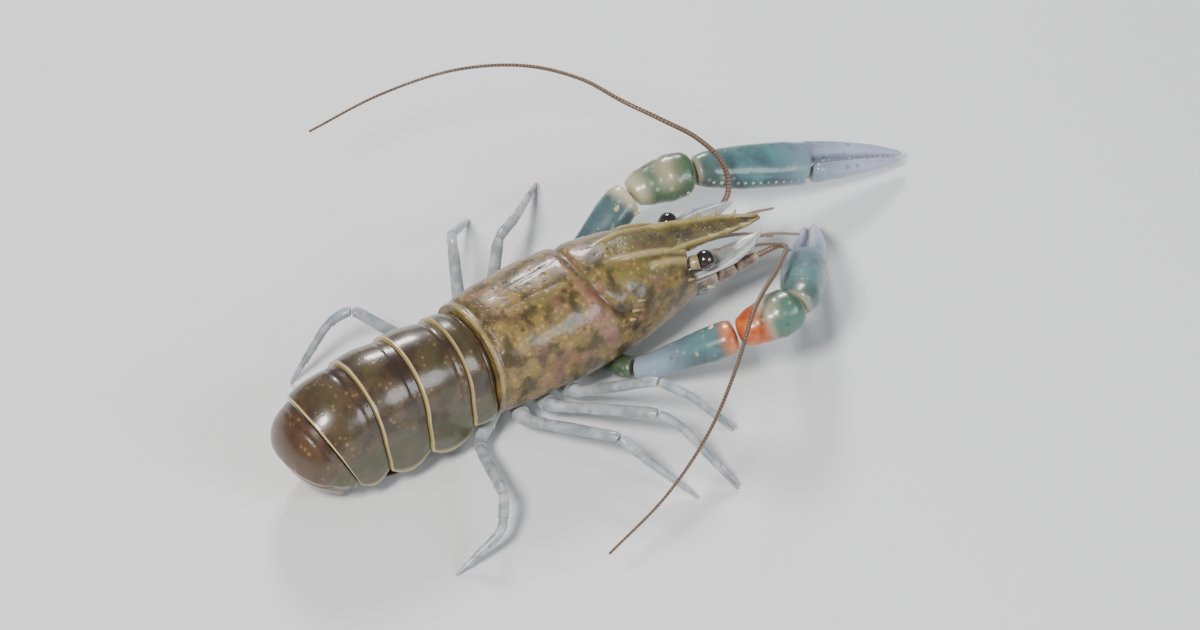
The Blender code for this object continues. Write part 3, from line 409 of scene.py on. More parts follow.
def plain_paint(name, first, second, scale=300.0, rough=0.4, coat=0.3):
    """Two tones of one colour, paler on rims and darker with painted shade in hollows."""
    p = Paint(name)
    fine = p.noise(scale, 3.0)
    base = p.mix(p.step(fine, 0.35, 0.65), first, second)
    base = p.mix(p.tag("pale"), base, rgb(0.5, 0.4, 0.2))
    # Painted shade where a piece marks it; the eye stalks get a little all over
    base = p.mix(p.tag("hollow") * 0.7, base, rgb(0.03, 0.028, 0.02))
    return p.finish(base, rough, fine + p.cells(scale * 2.2), 0.04, coat, 0.1)


def eye_paint():
    p = Paint("eye_gloss")
    facets = p.cells(2400.0, "DISTANCE_TO_EDGE")
    base = p.mix(p.step(p.noise(260.0), 0.4, 0.7), rgb(0.006, 0.006, 0.008), rgb(0.03, 0.017, 0.012))
    return p.finish(base, 0.06, p.step(facets, 0.0, 0.12), 0.006, 1.0, 0.0, 1.55)


# Lines and frames

def unit(rows):
    rows = np.asarray(rows, float)
    return rows / np.maximum(np.linalg.norm(rows, axis=-1, keepdims=True), 1e-9)


def curve(xs, ys, x):
    """Smooth rows at each x; xs may rise or fall."""
    xs, ys = np.asarray(xs, float), np.asarray(ys, float)
    if xs[0] > xs[-1]:
        xs, ys = xs[::-1], ys[::-1]
    ys = ys.reshape(len(xs), -1)
    x = np.clip(np.atleast_1d(np.asarray(x, float)), xs[0], xs[-1])
    k = np.clip(np.searchsorted(xs, x, side="right") - 1, 0, len(xs) - 2)
    steps = np.diff(xs)[:, None]
    slopes = np.diff(ys, axis=0) / steps
    bends = np.concatenate([slopes[:1], (slopes[1:] + slopes[:-1]) / 2, slopes[-1:]])
    h = steps[k]
    t = (x - xs[k])[:, None] / h
    return ((2 * t**3 - 3 * t**2 + 1) * ys[k] + (t**3 - 2 * t**2 + t) * h * bends[k]
            + (3 * t**2 - 2 * t**3) * ys[k + 1] + (t**3 - t**2) * h * bends[k + 1])


def rounded(points, radius):
    """A line of straight runs whose corners are drawn as arcs."""
    points = [np.asarray(p, float) for p in points]
    line = [points[0]]
    for before, corner, after in zip(points, points[1:], points[2:]):
        reach = min(radius, 0.45 * np.linalg.norm(corner - before), 0.45 * np.linalg.norm(after - corner))
        first, last = corner + unit(before - corner) * reach, corner + unit(after - corner) * reach
        for t in np.linspace(0.0, 1.0, 16):
            line.append((1 - t) ** 2 * first + 2 * t * (1 - t) * corner + t * t * last)
    return np.array(line + [points[-1]])


def flowing(points):
    """A smooth line through all of the points."""
    points = np.array(points, float)
    spans = np.concatenate([[0.0], np.cumsum(np.linalg.norm(np.diff(points, axis=0), axis=1))])
    return curve(spans, points, np.linspace(0.0, spans[-1], 20 * (len(points) - 1) + 1))


class Route:
    """A line with a frame that turns along it without twisting."""

    def __init__(self, line, up=(0, 0, 1)):
        self.line = np.array(line, float)
        moves = np.linalg.norm(np.diff(self.line, axis=0), axis=1)
        self.s = np.concatenate([[0.0], np.cumsum(moves)])
        self.length = self.s[-1]
        self.ahead = unit(np.gradient(self.line, self.s, axis=0))
        normal, rows = np.asarray(up, float), []
        for forward in self.ahead:
            normal = unit(normal - forward * np.dot(normal, forward))
            rows.append(normal)
        self.up = np.array(rows)

    def pick(self, rows, s):
        return np.stack([np.interp(s, self.s, rows[:, i]) for i in range(3)], axis=-1)

    def frame(self, s):
        ahead = unit(self.pick(self.ahead, s))
        up = self.pick(self.up, s)
        up = unit(up - ahead * np.sum(up * ahead, axis=-1, keepdims=True))
        return self.pick(self.line, s), ahead, up, np.cross(ahead, up)

    def near(self, point):
        return self.s[int(np.argmin(np.linalg.norm(self.line - np.asarray(point, float), axis=1)))]


def smooth(values, low, high):
    """0 up to low, 1 from high on, eased between."""
    t = np.clip((np.asarray(values, float) - low) / (high - low), 0.0, 1.0)
    return t * t * (3 - 2 * t)


def hill(values, centre, width):
    """A bell, 1 at its centre."""
    return np.exp(-(((np.asarray(values, float) - centre) / width) ** 2))


def mirror(points, side):
    """Points of the left side, taken to side 1 (left) or -1 (right)."""
    return np.asarray(points, float) * np.array((side, 1.0, 1.0))


# Meshes

class Patch:
    """Points, faces and named values that become one piece."""

    def __init__(self):
        self.points, self.faces, self.tags, self.count = [], [], {}, 0

    def add(self, points, faces, tags=None):
        points = np.asarray(points, float).reshape(-1, 3)
        faces = [tuple(i + self.count for i in face) for face in faces]
        tags = tags or {}
        for name in set(self.tags) | set(tags):
            rows = self.tags.setdefault(name, [np.zeros(self.count)])
            rows.append(np.broadcast_to(np.asarray(tags.get(name, 0.0), float), (len(points),)))
        self.points.append(points)
        self.faces += faces
        self.count += len(points)
        return self

    def loft(self, rings, tags=None):
        """Rings (count, around, 3) closed at both ends on a middle point."""
        rings = np.asarray(rings, float)
        count, around = rings.shape[:2]
        grid = np.arange(count * around).reshape(count, around)
        a, b = grid[:-1], np.roll(grid[:-1], -1, axis=1)
        c, d = np.roll(grid[1:], -1, axis=1), grid[1:]
        faces = [tuple(row) for row in np.stack([a, b, c, d], axis=-1).reshape(-1, 4).tolist()]
        points = [rings.reshape(-1, 3), rings[:1].mean(axis=1), rings[-1:].mean(axis=1)]
        first, last = grid[0].tolist(), grid[-1].tolist()
        faces += [(first[(j + 1) % around], first[j], grid.size) for j in range(around)]
        faces += [(last[j], last[(j + 1) % around], grid.size + 1) for j in range(around)]
        full = {}
        for name, value in (tags or {}).items():
            value = np.broadcast_to(np.asarray(value, float), (count, around))
            full[name] = np.concatenate([value.ravel(), [value[0].mean(), value[-1].mean()]])
        return self.add(np.concatenate(points), faces, full)

    def piece(self, name, node, slot, paint, angle=40.0):
        points = within(np.concatenate(self.points) * MM + SHIFT)
        mesh = bpy.data.meshes.new(name)
        mesh.from_pydata([tuple(p) for p in points.tolist()], [], self.faces)
        work = bmesh.new()
        work.from_mesh(mesh)
        bmesh.ops.recalc_face_normals(work, faces=work.faces)
        work.to_mesh(mesh)
        work.free()
        for tag, rows in self.tags.items():
            layer = mesh.attributes.new(tag, "FLOAT", "POINT")
            most = 9.0 if tag == "along" else 1.0
            layer.data.foreach_set("value", np.clip(np.concatenate(rows), 0.0, most))
        mesh.materials.append(paint)
        mesh.shade_smooth()
        mesh.set_sharp_from_angle(angle=math.radians(angle))
        item = bpy.data.objects.new(name, mesh)
        bpy.context.scene.collection.objects.link(item)
        return claim(item, node, slot)


def within(points):
    """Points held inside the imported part's box."""
    return np.clip(points, np.array(START[0]), np.array(START[1]))


def claim(item, node, slot):
    """Puts a piece on the body in the place of its node and hides the node's imported part; slot is not
    used.
    """
    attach(item, "root")
    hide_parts(node)
    return item


def ends(count, length, soft):
    """Ring places, packed near the ends, and how far each ring is drawn in there."""
    t = (1 - np.cos(np.pi * np.linspace(0.0, 1.0, count))) / 2
    t = 0.55 * t + 0.45 * np.linspace(0.0, 1.0, count)
    scale = np.ones(count)
    for place, reach in ((t * length, soft[0]), ((1 - t) * length, soft[1])):
        if reach > 0:
            depth = np.clip(1 - place / reach, 0.0, 1.0)
            scale *= np.sqrt(np.maximum(1 - depth**2, 0.04))
    return t, scale


def eased(rows, column, share):
    """A column of size rows at each share, with its corners smoothed."""
    fine = np.linspace(rows[0, 0], rows[-1, 0], 241)
    kernel = np.hanning(13) / np.hanning(13).sum()
    straight = np.pad(np.interp(fine, rows[:, 0], rows[:, column]), 6, mode="edge")
    return np.interp(share, fine, np.convolve(straight, kernel, "valid"))


def tube(route, start, end, sizes, count=24, sides=20, soft=(0.0, 0.0), power=2.0,
         span=(0.0, 1.0), shape=None):
    """Rings between two places on a route. span is the share of the size rows
    that the piece covers; shape(share, angle) multiplies the ring."""
    rows = np.array([tuple(r) + (0.0,) * (4 - len(r)) for r in sizes], float)
    t, scale = ends(count, end - start, soft)
    centre, _, up, side = route.frame(start + (end - start) * t)
    share = span[0] + (span[1] - span[0]) * t
    half, high, shift = (eased(rows, column, share) for column in (1, 2, 3))
    angles = 2 * np.pi * np.arange(sides) / sides
    c, s = np.cos(angles), np.sin(angles)
    c, s = np.sign(c) * np.abs(c) ** (2 / power), np.sign(s) * np.abs(s) ** (2 / power)
    grow = scale[:, None] * (shape(t[:, None], angles[None]) if shape else 1.0)
    rings = (centre[:, None] + side[:, None] * ((half[:, None] * grow * c) + shift[:, None])[..., None]
             + up[:, None] * (high[:, None] * grow * s)[..., None])
    grid = rings.shape[:2]
    return rings, np.broadcast_to(t[:, None], grid), np.broadcast_to(angles[None], grid)


def globe(centre, radius, rows, sides):
    """Rings of a ball."""
    polar = np.pi * np.arange(1, rows) / rows
    turn = 2 * np.pi * np.arange(sides) / sides
    rings = np.stack([np.sin(polar)[:, None] * np.cos(turn), np.sin(polar)[:, None] * np.sin(turn),
                      np.cos(polar)[:, None] * np.ones(sides)], axis=-1)
    return np.asarray(centre, float) + radius * rings


def cone(root, aim, length, radius):
    """Rings of a spine that thins to a blunt point."""
    root, aim = np.asarray(root, float), unit(aim)
    side = unit(np.cross(aim, (0.03, 0.3, 1.0)))
    up = np.cross(side, aim)
    t = np.linspace(0.0, 1.0, 5)
    angles = 2 * np.pi * np.arange(8) / 8
    ring = side * np.cos(angles)[:, None] + up * np.sin(angles)[:, None]
    centre = root + aim * (t[:, None] * length)
    return centre[:, None] + ring[None] * (radius * (1 - t) ** 0.75 + 0.04)[:, None, None]


# Repeats

def repeat_group(name, kind):
    """Small shapes set on the points of a mesh, turned to face its aim value."""
    group = bpy.data.node_groups.new(name, "GeometryNodeTree")
    wanted = (("Geometry", "Geometry", None), ("Length", "Float", 1.0 * MM), ("Radius", "Float", 0.05 * MM),
              ("Spread", "Float", 0.25), ("Seed", "Int", 3), ("Material", "Material", None))
    for label, form, start in wanted:
        made = group.interface.new_socket(label, in_out="INPUT", socket_type="NodeSocket" + form)
        if start is not None:
            made.default_value = start
    group.interface.new_socket("Geometry", in_out="OUTPUT", socket_type="NodeSocketGeometry")
    add, link = group.nodes.new, group.links.new
    given, result = add("NodeGroupInput"), add("NodeGroupOutput")
    if kind == "bristle":
        shape = add("GeometryNodeMeshCone")
        shape.inputs["Vertices"].default_value = 5
        link(given.outputs["Radius"], shape.inputs["Radius Bottom"])
        link(given.outputs["Length"], shape.inputs["Depth"])
        mesh = shape.outputs["Mesh"]
    else:
        shape = add("GeometryNodeMeshIcoSphere")
        shape.inputs["Subdivisions"].default_value = 2
        link(given.outputs["Radius"], shape.inputs["Radius"])
        mesh = shape.outputs["Mesh"]
    aim = add("GeometryNodeInputNamedAttribute")
    aim.data_type = "FLOAT_VECTOR"
    aim.inputs["Name"].default_value = "aim"
    turn = add("FunctionNodeAlignRotationToVector")
    turn.axis = "Z"
    link(aim.outputs["Attribute"], turn.inputs["Vector"])
    low, high, vary = add("ShaderNodeMath"), add("ShaderNodeMath"), add("FunctionNodeRandomValue")
    low.operation, high.operation = "SUBTRACT", "ADD"
    for node, target in ((low, "Min"), (high, "Max")):
        node.inputs[0].default_value = 1.0
        link(given.outputs["Spread"], node.inputs[1])
        link(node.outputs[0], [s for s in vary.inputs if s.name == target and s.type == "VALUE"][0])
    link(given.outputs["Seed"], vary.inputs["Seed"])
    placed, real = add("GeometryNodeInstanceOnPoints"), add("GeometryNodeRealizeInstances")
    dress = add("GeometryNodeSetMaterial")
    link(given.outputs["Geometry"], placed.inputs["Points"])
    link(mesh, placed.inputs["Instance"])
    link(turn.outputs["Rotation"], placed.inputs["Rotation"])
    link([s for s in vary.outputs if s.type == "VALUE"][0], placed.inputs["Scale"])
    link(placed.outputs["Instances"], real.inputs["Geometry"])
    link(real.outputs["Geometry"], dress.inputs["Geometry"])
    link(given.outputs["Material"], dress.inputs["Material"])
    link(dress.outputs["Geometry"], result.inputs["Geometry"])
    return group


GROUPS = {}


def sow(name, kind, roots, aims, length, radius, node, slot, paint, spread=0.25, seed=3, tags=None):
    """Bristles or granules on a node, made by the repeat group; tags colour them."""
    if not len(roots):
        return None
    if kind not in GROUPS:
        GROUPS[kind] = repeat_group(kind + "_repeat", kind)
    group = GROUPS[kind]
    mesh = bpy.data.meshes.new(name)
    mesh.from_pydata([tuple(p) for p in (np.asarray(roots, float) * MM + SHIFT).tolist()], [], [])
    layer = mesh.attributes.new("aim", "FLOAT_VECTOR", "POINT")
    layer.data.foreach_set("vector", np.ascontiguousarray(unit(aims), dtype=np.float32).ravel())
    for tag, value in (tags or {}).items():
        layer = mesh.attributes.new(tag, "FLOAT", "POINT")
        layer.data.foreach_set("value", np.full(len(roots), value, np.float32))
    item = bpy.data.objects.new(name, mesh)
    bpy.context.scene.collection.objects.link(item)
    change = item.modifiers.new("repeat", "NODES")
    change.node_group = group
    values = {"Length": length * MM, "Radius": radius * MM, "Spread": spread, "Seed": seed,
              "Material": paint}
    for entry in group.interface.items_tree:
        if entry.in_out == "INPUT" and entry.name in values:
            change[entry.identifier] = values[entry.name]
    view = bpy.context.evaluated_depsgraph_get()
    made = bpy.data.meshes.new_from_object(item.evaluated_get(view))
    item.modifiers.clear()
    item.data = made
    spots = np.array([tuple(v.co) for v in made.vertices])
    made.vertices.foreach_set("co", within(spots).astype(np.float32).ravel())
    made.shade_smooth()
    return claim(item, node, slot)


# Carapace

def shell_sizes(y):
    rows = np.array(CARAPACE)
    return curve(rows[:, 0], rows[:, 1:], y)


def shell_base(y, angle):
    """Plain shell surface; angle 0 is the left widest line and pi the right."""
    half, top, middle, under = (c[:, None] if np.ndim(y) == 1 else c for c in shell_sizes(np.ravel(y)).T)
    power = 2 / POWER
    lift = np.abs(np.sin(angle)) ** power
    across = np.sign(np.cos(angle)) * np.abs(np.cos(angle)) ** power
    return half, top, middle, under, lift, across


def wobble(x, y, z, size):
    """Slow, fixed unevenness."""
    a = np.sin(x / size + 1.3 * np.sin(y / size * 0.7)) * np.sin(y / size * 1.1 + 0.6 * z / size)
    b = np.sin(y / size * 1.9 + 2.0) * np.sin(z / size * 1.7 + x / size * 0.8)
    return 0.6 * a + 0.4 * b


def keel(x, y, start, end, off_a, off_b, width):
    """Ridge strength at plan position (x, y) of a keel and its twin."""
    along = (y - start) / (end - start)
    line = off_a + (off_b - off_a) * np.clip(along, 0.0, 1.0)
    body = smooth(along, -0.02, 0.3) * (1 - smooth(along, 1.0, 1.04))
    return body * hill(np.abs(x), line, width)


def shell_relief(x, y, z, lift):
    """Height over the plain shell, with its pale keels and rim and the painted shade in its grooves and
    troughs.
    """
    line = GROOVE_Y - GROOVE_FORWARD * (1.0 - lift) ** 1.5
    fade = np.clip((lift + 0.05) / 0.25, 0, 1)
    groove = hill(y, line, GROOVE_HALF) * fade
    gill = hill(np.abs(x), 2.2 + 0.012 * (y + 13) ** 2, 0.5) * (lift > 0.8)
    gill = gill * smooth(y, -24, -19) * (1 - smooth(y, -6, -2))
    cheek = hill(y, -36.5, 2.2) * hill(lift, 0.42, 0.22)
    beak = keel(x, y, *BEAK_KEEL) * (lift > 0.5)
    brow = keel(x, y, *BROW_KEEL) * (lift > 0.4)
    rim = hill(y, -0.5, 0.5)
    notch = hill(y, -1.7, 0.6)
    swell = hill(y, -14.0, 9.0) * hill(lift, 0.55, 0.3)
    relief = (-0.8 * GROOVE_DEPTH * groove - 0.09 * gill + 0.35 * cheek + 0.58 * beak + 0.66 * brow
              + 0.2 * swell + 0.12 * rim - 0.22 * notch
              + 0.12 * wobble(x, y, z, 2.6) + 0.05 * wobble(y, z, x, 0.9))
    pale = np.clip(0.95 * brow + 0.85 * beak + 0.5 * rim, 0, 1)
    # Painted shade: the troughs by the head keels, the neck and gill grooves and the rear notch are
    # darkened
    trough_shade = smooth(-y, 33.0, 43.0) * smooth(lift, 0.35, 0.7) * (1 - np.clip(brow + beak, 0, 1))
    return relief, pale, np.clip(groove * 0.75 + gill * 0.4 + 0.5 * notch + 0.55 * trough_shade, 0, 1)


def build_carapace(paint):
    many = 210
    ys = np.concatenate([np.linspace(0.0, -4.0, many // 8), np.linspace(-4.3, FRONT, many)])
    arch = np.linspace(0.0, np.pi, 170)
    half, top, middle, under, lift, across = shell_base(ys, arch[None])
    x, z, y = half * across, middle + (top - middle) * lift, np.repeat(ys[:, None], len(arch), 1)
    relief, pale, hollow = shell_relief(x, y, z, lift)
    out = unit(np.stack([across / half, np.zeros_like(x), lift / (top - middle)], axis=-1))
    over = np.stack([x, y, z], axis=-1) + out * relief[..., None]
    orbit = hill(np.abs(x), ORBIT_X, 1.9) * hill(z, ORBIT_Z, 2.0) * smooth(-y, 47.0, 50.5)
    over[..., 1] += ORBIT_DEPTH * orbit
    bends = np.pi / 2 * np.linspace(0.0, 1.0, 17)[1:]
    foot = half * FOOT
    side_x = foot + (half - foot) * np.cos(bends)[None] - 0.3 * hill(ys, -1.9, 0.6)[:, None]
    side_z = middle - (middle - under) * np.sin(bends)[None]
    hem = 0.28 * hill(bends / bends[-1], 0.9, 0.1)[None]
    side_y = np.repeat(ys[:, None], len(bends), 1)
    side_x = side_x + hem + 0.10 * wobble(side_x, side_y, side_z, 2.6)
    right = np.stack([-side_x, side_y, side_z], axis=-1)
    left = np.stack([side_x, side_y, side_z], axis=-1)[:, ::-1]
    floor_x = np.linspace(-0.9, 0.9, 9)[None] * foot
    below_z = under + 0.5 * np.cos(floor_x / foot * 1.5)
    below = np.stack([floor_x, np.repeat(ys[:, None], 9, 1), below_z], axis=-1)
    rings = np.concatenate([over, right, below, left], axis=1)

    def full(values, side_value, below_value):
        side = np.broadcast_to(side_value, right.shape[:2])
        return np.concatenate([values, side, np.full(below.shape[:2], below_value), side[:, ::-1]], axis=1)

    cheek = hill(y, -42.0, 8.0) * hill(lift, 0.5, 0.3)
    blush = hill(y, -32.0, 16.0) * (0.3 + 0.7 * (1 - lift)) + 0.3 + 0.5 * cheek
    head = smooth(-y, 26.0, 40.0) * (0.1 + 0.9 * smooth(lift, 0.5, 0.9))
    down = np.linspace(0, 1, len(bends))[None]
    # Painted shade: the grooves and troughs, a little under the shell, and the closing rings in front
    tags = {"pale": full(pale, 0.55 * hill(down, 0.93, 0.07), 0.0),
            "green": full(head, 0.1, 0.0),
            "hollow": full(hollow, 0.0, 0.3),
            "blush": full(np.clip(blush, 0, 1), 0.7, 0.0),
            "under": full(np.zeros_like(pale), smooth(down, 0.5, 1.0) * 0.7, 1.0)}
    front = []
    for shrink, back in FRONT_RINGS:
        centre = rings[-1].mean(axis=0)
        ring = centre + (rings[-1] - centre) * shrink
        ring[:, 1] = rings[-1][:, 1] + back
        front.append(ring)
    rings = np.concatenate([rings, np.array(front)])
    for name, value in tags.items():
        extra = np.repeat(value[-1:], len(front), 0) * (0.3 if name == "pale" else 1.0)
        if name == "hollow":
            extra = np.maximum(extra, np.array(FRONT_SHADE)[:, None])
        tags[name] = np.concatenate([value, extra])
    Patch().loft(rings, tags).piece("carapace_shell", "carapace", "shell", paint, 60)
    build_thorns(paint)


def build_thorns(paint):
    thorns = Patch()
    for side in (1, -1):
        for y, degrees, length in THORNS:
            angle = np.array([[math.radians(degrees)]])
            half, top, middle, _, lift, across = shell_base(np.array([y]), angle)
            spot = np.array((side * (half * across).item(), y, (middle + (top - middle) * lift).item()))
            root, aim = spot - (0.5 * side, 0, 0), (side * 0.75, -1.0, 0.15)
            thorns.loft(cone(root, aim, length, THORN_RADIUS), {"pale": 0.75})
    thorns.piece("carapace_thorns", "carapace", "shell", paint)


def build_rostrum(paint):
    rows = np.array(ROSTRUM)
    ys = np.linspace(rows[0, 0] + 1.5, rows[-1, 0], 90)
    half, edge = curve(rows[:, 0], rows[:, 1:], np.minimum(ys, rows[0, 0])).T
    share = np.clip((ys - rows[0, 0]) / (rows[-1, 0] - rows[0, 0]), 0, 1)
    root_depth, tip_depth = ROSTRUM_DEPTH
    depth = (root_depth - (root_depth - tip_depth) * share)[:, None]
    dish = (ROSTRUM_DISH * (1 - 0.6 * share))[:, None]
    half, edge, side_y = half[:, None], edge[:, None], ys[:, None]
    u = np.linspace(1.0, -1.0, 41)[None]
    lip = np.minimum(0.22 * half + 0.25, 0.45 * half)
    crest = hill((1 - np.abs(u)) * half, lip / 2, 0.55 * lip)
    top = -dish * (1 - u**2) + 0.42 * crest - 0.25 * (np.abs(u) > 0.985)
    ridge = 0.12 * hill(u, 0.0, 0.12) * (1 - share)[:, None]
    upper = np.stack([half * u, np.repeat(side_y, u.size, 1), edge + top + ridge], axis=-1)
    v = np.linspace(-0.97, 0.97, 25)[None]
    lower_z = edge - 0.3 - (depth - 0.3) * np.sqrt(np.maximum(1 - v**2, 0))
    lower = np.stack([half * v, np.repeat(side_y, v.size, 1), lower_z], axis=-1)
    rings = np.concatenate([upper, lower], axis=1)
    pale = np.concatenate([np.clip(crest * 1.1, 0, 1) * 0.9, np.full(lower_z.shape, 0.2)], axis=1)
    # Painted shade in the dish between the raised edges, darkest in its middle
    hollow = np.concatenate([0.7 * (1 - u**2) * np.ones_like(crest), np.zeros(lower_z.shape)], axis=1)
    patch = Patch().loft(rings, {"pale": pale * 0.9, "hollow": hollow, "blush": 0.35, "green": 0.8})
    for y in ROSTRUM_SPINES:
        wide, high = curve(rows[:, 0], rows[:, 1:], y)[0]
        for side in (1, -1):
            root, aim = (side * (wide - 0.45), y + 0.5, high + 0.02), (side * 0.55, -1.0, 0.28)
            patch.loft(cone(root, aim, SPINE_LENGTH, THORN_RADIUS), {"pale": 0.9})
    patch.piece("rostrum", "carapace", "shell", paint, 50)


def build_sternum(paint):
    ys = np.linspace(STERNUM_Y[1], STERNUM_Y[0], 80)
    wide = np.interp(ys, *zip(*STERNUM_WAIST))
    low = STERNUM_Z[0] + (1 - wide) * 3.0 + 0.35 * np.abs(np.sin((ys + 5.0) / 6.0 * np.pi))
    angles = 2 * np.pi * np.arange(28) / 28
    c, s = np.cos(angles), np.sin(angles)
    c, s = np.sign(c) * np.abs(c) ** 0.4, np.sign(s) * np.abs(s) ** 0.5
    middle, height = (low + STERNUM_Z[1]) / 2, (STERNUM_Z[1] - low) / 2
    rings = np.stack([np.repeat(STERNUM_HALF * c[None], len(ys), 0), np.repeat(ys[:, None], 28, 1),
                      middle[:, None] + height[:, None] * s[None]], axis=-1)
    Patch().loft(rings, {"pale": 0.2}).piece("sternum_plate", "sternum", "belly", paint)


# Head

def build_eye(side, word, dark, stalk):
    root = np.array((side * EYE_ROOT[0], HEAD_Y, EYE_ROOT[1]))
    centre = mirror(EYE_CENTRE, side)
    route = Route(np.array([root, root + (centre - root) * 0.5, root + (centre - root) * 0.9]))
    rings, t, _ = tube(route, 0.0, route.length, STALK_SIZES, 16, 24)
    # A little painted shade over the whole stalk
    Patch().loft(rings, {"pale": 0.55 + 0.3 * np.sin(t * 9), "hollow": 0.2}).piece(
        "eye_stalk_" + word, "eye_" + word, "eye", stalk)
    Patch().loft(globe(centre, EYE_RADIUS, 28, 40)).piece("eye_ball_" + word, "eye_" + word, "eye", dark)


def segments(route, cuts, step, soft):
    """Number, start, end and rounding of each segment of a limb; all but the first begin a step late."""
    for k, (a, b) in enumerate(zip(cuts, cuts[1:])):
        yield k, route.length * a + (step if k else 0.0), route.length * b, (soft if k else 0.0, soft)


def build_antennule(side, word, paint):
    route = Route(flowing(mirror(ANTENNULE, side)))
    patch = Patch()
    for k, start, end, soft in segments(route, ANTENNULE_CUTS, OVERLAP, 0.4):
        wide, high, end_wide, end_high = (radius - ANTENNULE_STEP * k for radius in ANTENNULE_RADIUS)
        rings, _, _ = tube(route, start, end, ((0.0, wide, high), (1.0, end_wide, end_high)), 14, 18, soft)
        patch.loft(rings, {"pale": 0.85, "along": 0.0})
    for line in FILAMENTS:
        thread = Route(flowing(mirror(line, side)))
        rings, t, _ = tube(thread, 0.0, thread.length, FILAMENT_SIZES, 90, 8)
        patch.loft(rings, {"pale": 0.45, "along": t * thread.length * RING_SHARE})
    patch.piece("antennule_form_" + word, "antennule_" + word, "feeler", paint)


def build_antenna(side, word, paint, leg, feeler):
    route = Route(flowing(mirror(PEDUNCLE, side)))
    patch = Patch()
    for k, start, end, soft in segments(route, PEDUNCLE_CUTS, 0.1, 0.5):
        rings, t, _ = tube(route, start, end, PEDUNCLE_SIZES, 18, 26, soft, 2.2, PEDUNCLE_CUTS[k:k + 2])
        patch.loft(rings, {"flesh": 0.9, "pale": 0.5 * smooth(t, 0.78, 0.97)})
    patch.loft(cone(mirror(PEDUNCLE_SPINE, side), (side * 0.7, -1.0, -0.1), 1.7, 0.55), {"pale": 0.8})
    patch.piece("antenna_foot_" + word, "antenna_base_" + word, "claw", paint)
    build_scale(side, word, leg)
    build_whip(word, feeler)


def build_scale(side, word, paint):
    axis = Route(flowing(mirror(SCALE_AXIS, side)))
    t = np.linspace(0.0, 1.0, 60)
    centre, ahead, up, across = axis.frame(axis.length * t)
    half = np.interp(t, *zip(*SCALE_HALF))
    thick = 0.42 + 0.12 * np.sin(np.pi * t)
    u = np.linspace(-1.0, 1.0, 21)
    outer = u * side
    top = 0.75 * hill(outer, -0.8, 0.16) + 0.5 * hill(outer, -0.2, 0.12) + 0.35
    rim = np.sqrt(np.maximum(1 - u**2, 0.02))

    def face(places, heights):
        aside, lift = half[:, None] * places, thick[:, None] * heights
        return centre[:, None] + across[:, None] * aside[..., None] + up[:, None] * lift[..., None]

    rings = np.concatenate([face(u, top * rim), face(u[::-1], -0.8 * rim)], axis=1)
    mark = np.concatenate([hill(outer, -0.8, 0.25), np.zeros(u.size)])
    # Painted shade over the scale, all but the top of its outer ridge
    patch = Patch().loft(rings, {"blue": 0.3, "warm": 0.25 * (1 - mark), "hollow": 0.35 * (1 - mark)})
    patch.loft(cone(centre[-1] - ahead[-1] * 1.2, ahead[-1] + 0.05 * up[-1], 1.7, 0.4), {"warm": 0.3})
    patch.piece("antenna_blade_" + word, "antenna_scale_" + word, "leg", paint)
    inner = centre + across * (half * side)[:, None]
    pick = slice(10, 56)
    aims = unit(ahead[pick] * 0.8 + across[pick] * side * 0.75)
    sow("antenna_fringe_" + word, "bristle", inner[pick] - across[pick] * side * 0.15, aims, *ANTENNA_HAIR,
        "antenna_scale_" + word, "leg", paint)


def build_whip(word, paint):
    route = Route(flowing(FEELERS[word]), (0.3, 0.2, 1.0))
    cuts = [GAP / 2] + [route.length * share for share in FEELER_CUTS] + [route.length]
    thick, thin = FEELER_RADIUS
    for end, a, b in zip("abcd", cuts, cuts[1:]):
        places = np.linspace(0.0, 1.0, 8)
        radii = thick + (thin - thick) * ((a + (b - a) * places) / route.length) ** 0.7
        rows = [(t, r, r) for t, r in zip(places, radii)]
        joined = 0.0 if end == "d" else OVERLAP
        rings, t, _ = tube(route, a if end == "a" else a + 0.02, b - joined, rows, 120, 10)
        place = a + (b - a) * t
        beads = 1.0 + 0.02 * np.sin(place * 9.0)
        middle = rings.mean(axis=1, keepdims=True)
        rings = middle + (rings - middle) * beads[..., None]
        tags = {"along": place * RING_SHARE, "pale": 0.12 * (1 - place / route.length)}
        patch = Patch().loft(rings, tags)
        patch.piece("whip_%s_%s" % (word, end), "antenna_%s_%s" % (word, end), "feeler", paint)


def build_jaw(side, word, paint):
    route = Route(flowing(mirror(MAXILLIPED, side)))
    patch = Patch()
    for k, start, end, soft in segments(route, JAW_CUTS, OVERLAP, 0.4):
        rings, t, _ = tube(route, start, end, JAW_SIZES, 20, 20, soft, 2.3, JAW_CUTS[k:k + 2])
        patch.loft(rings, {"warm": 0.3 * smooth(t, 0.8, 1.0), "blue": 0.3})
    patch.piece("jaw_leg_" + word, "maxilliped_" + word, "leg", paint)
    s = np.linspace(route.length * 0.3, route.length * 0.97, 60)
    centre, ahead, up, across = route.frame(s)
    inward = across * side
    roots = centre + inward * np.interp(s / route.length, (0.3, 1.0), (1.8, 0.4))[:, None] - up * 0.5
    sow("jaw_bristles_" + word, "bristle", roots, inward * 0.6 - up * 0.7 + ahead * 0.4, *JAW_HAIR,
        "maxilliped_" + word, "leg", paint)


# Claws

def limb_piece(name, node, slot, paint, route, start, end, sizes, tags, soft, count, sides,
               power=2.0, shape=None, spines=()):
    rings, t, turn = tube(route, start, end, sizes, count, sides, soft, power, shape=shape)
    patch = Patch().loft(rings, tags(t, turn))
    for spine in spines:
        patch.loft(spine, {"pale": 0.9})
    patch.piece(name, node, slot, paint, 50)


def lumpy(amount, seed):
    """Slow swellings along and around a limb, none at its ends."""
    def shape(t, turn):
        long_waves = np.sin(7 * t * np.pi + seed) * np.sin(3 * turn + seed)
        short_waves = np.sin(13 * t * np.pi + 2 * seed) * np.sin(5 * turn - seed)
        return 1.0 + amount * (long_waves + 0.6 * short_waves) * np.sin(np.pi * t)
    return shape


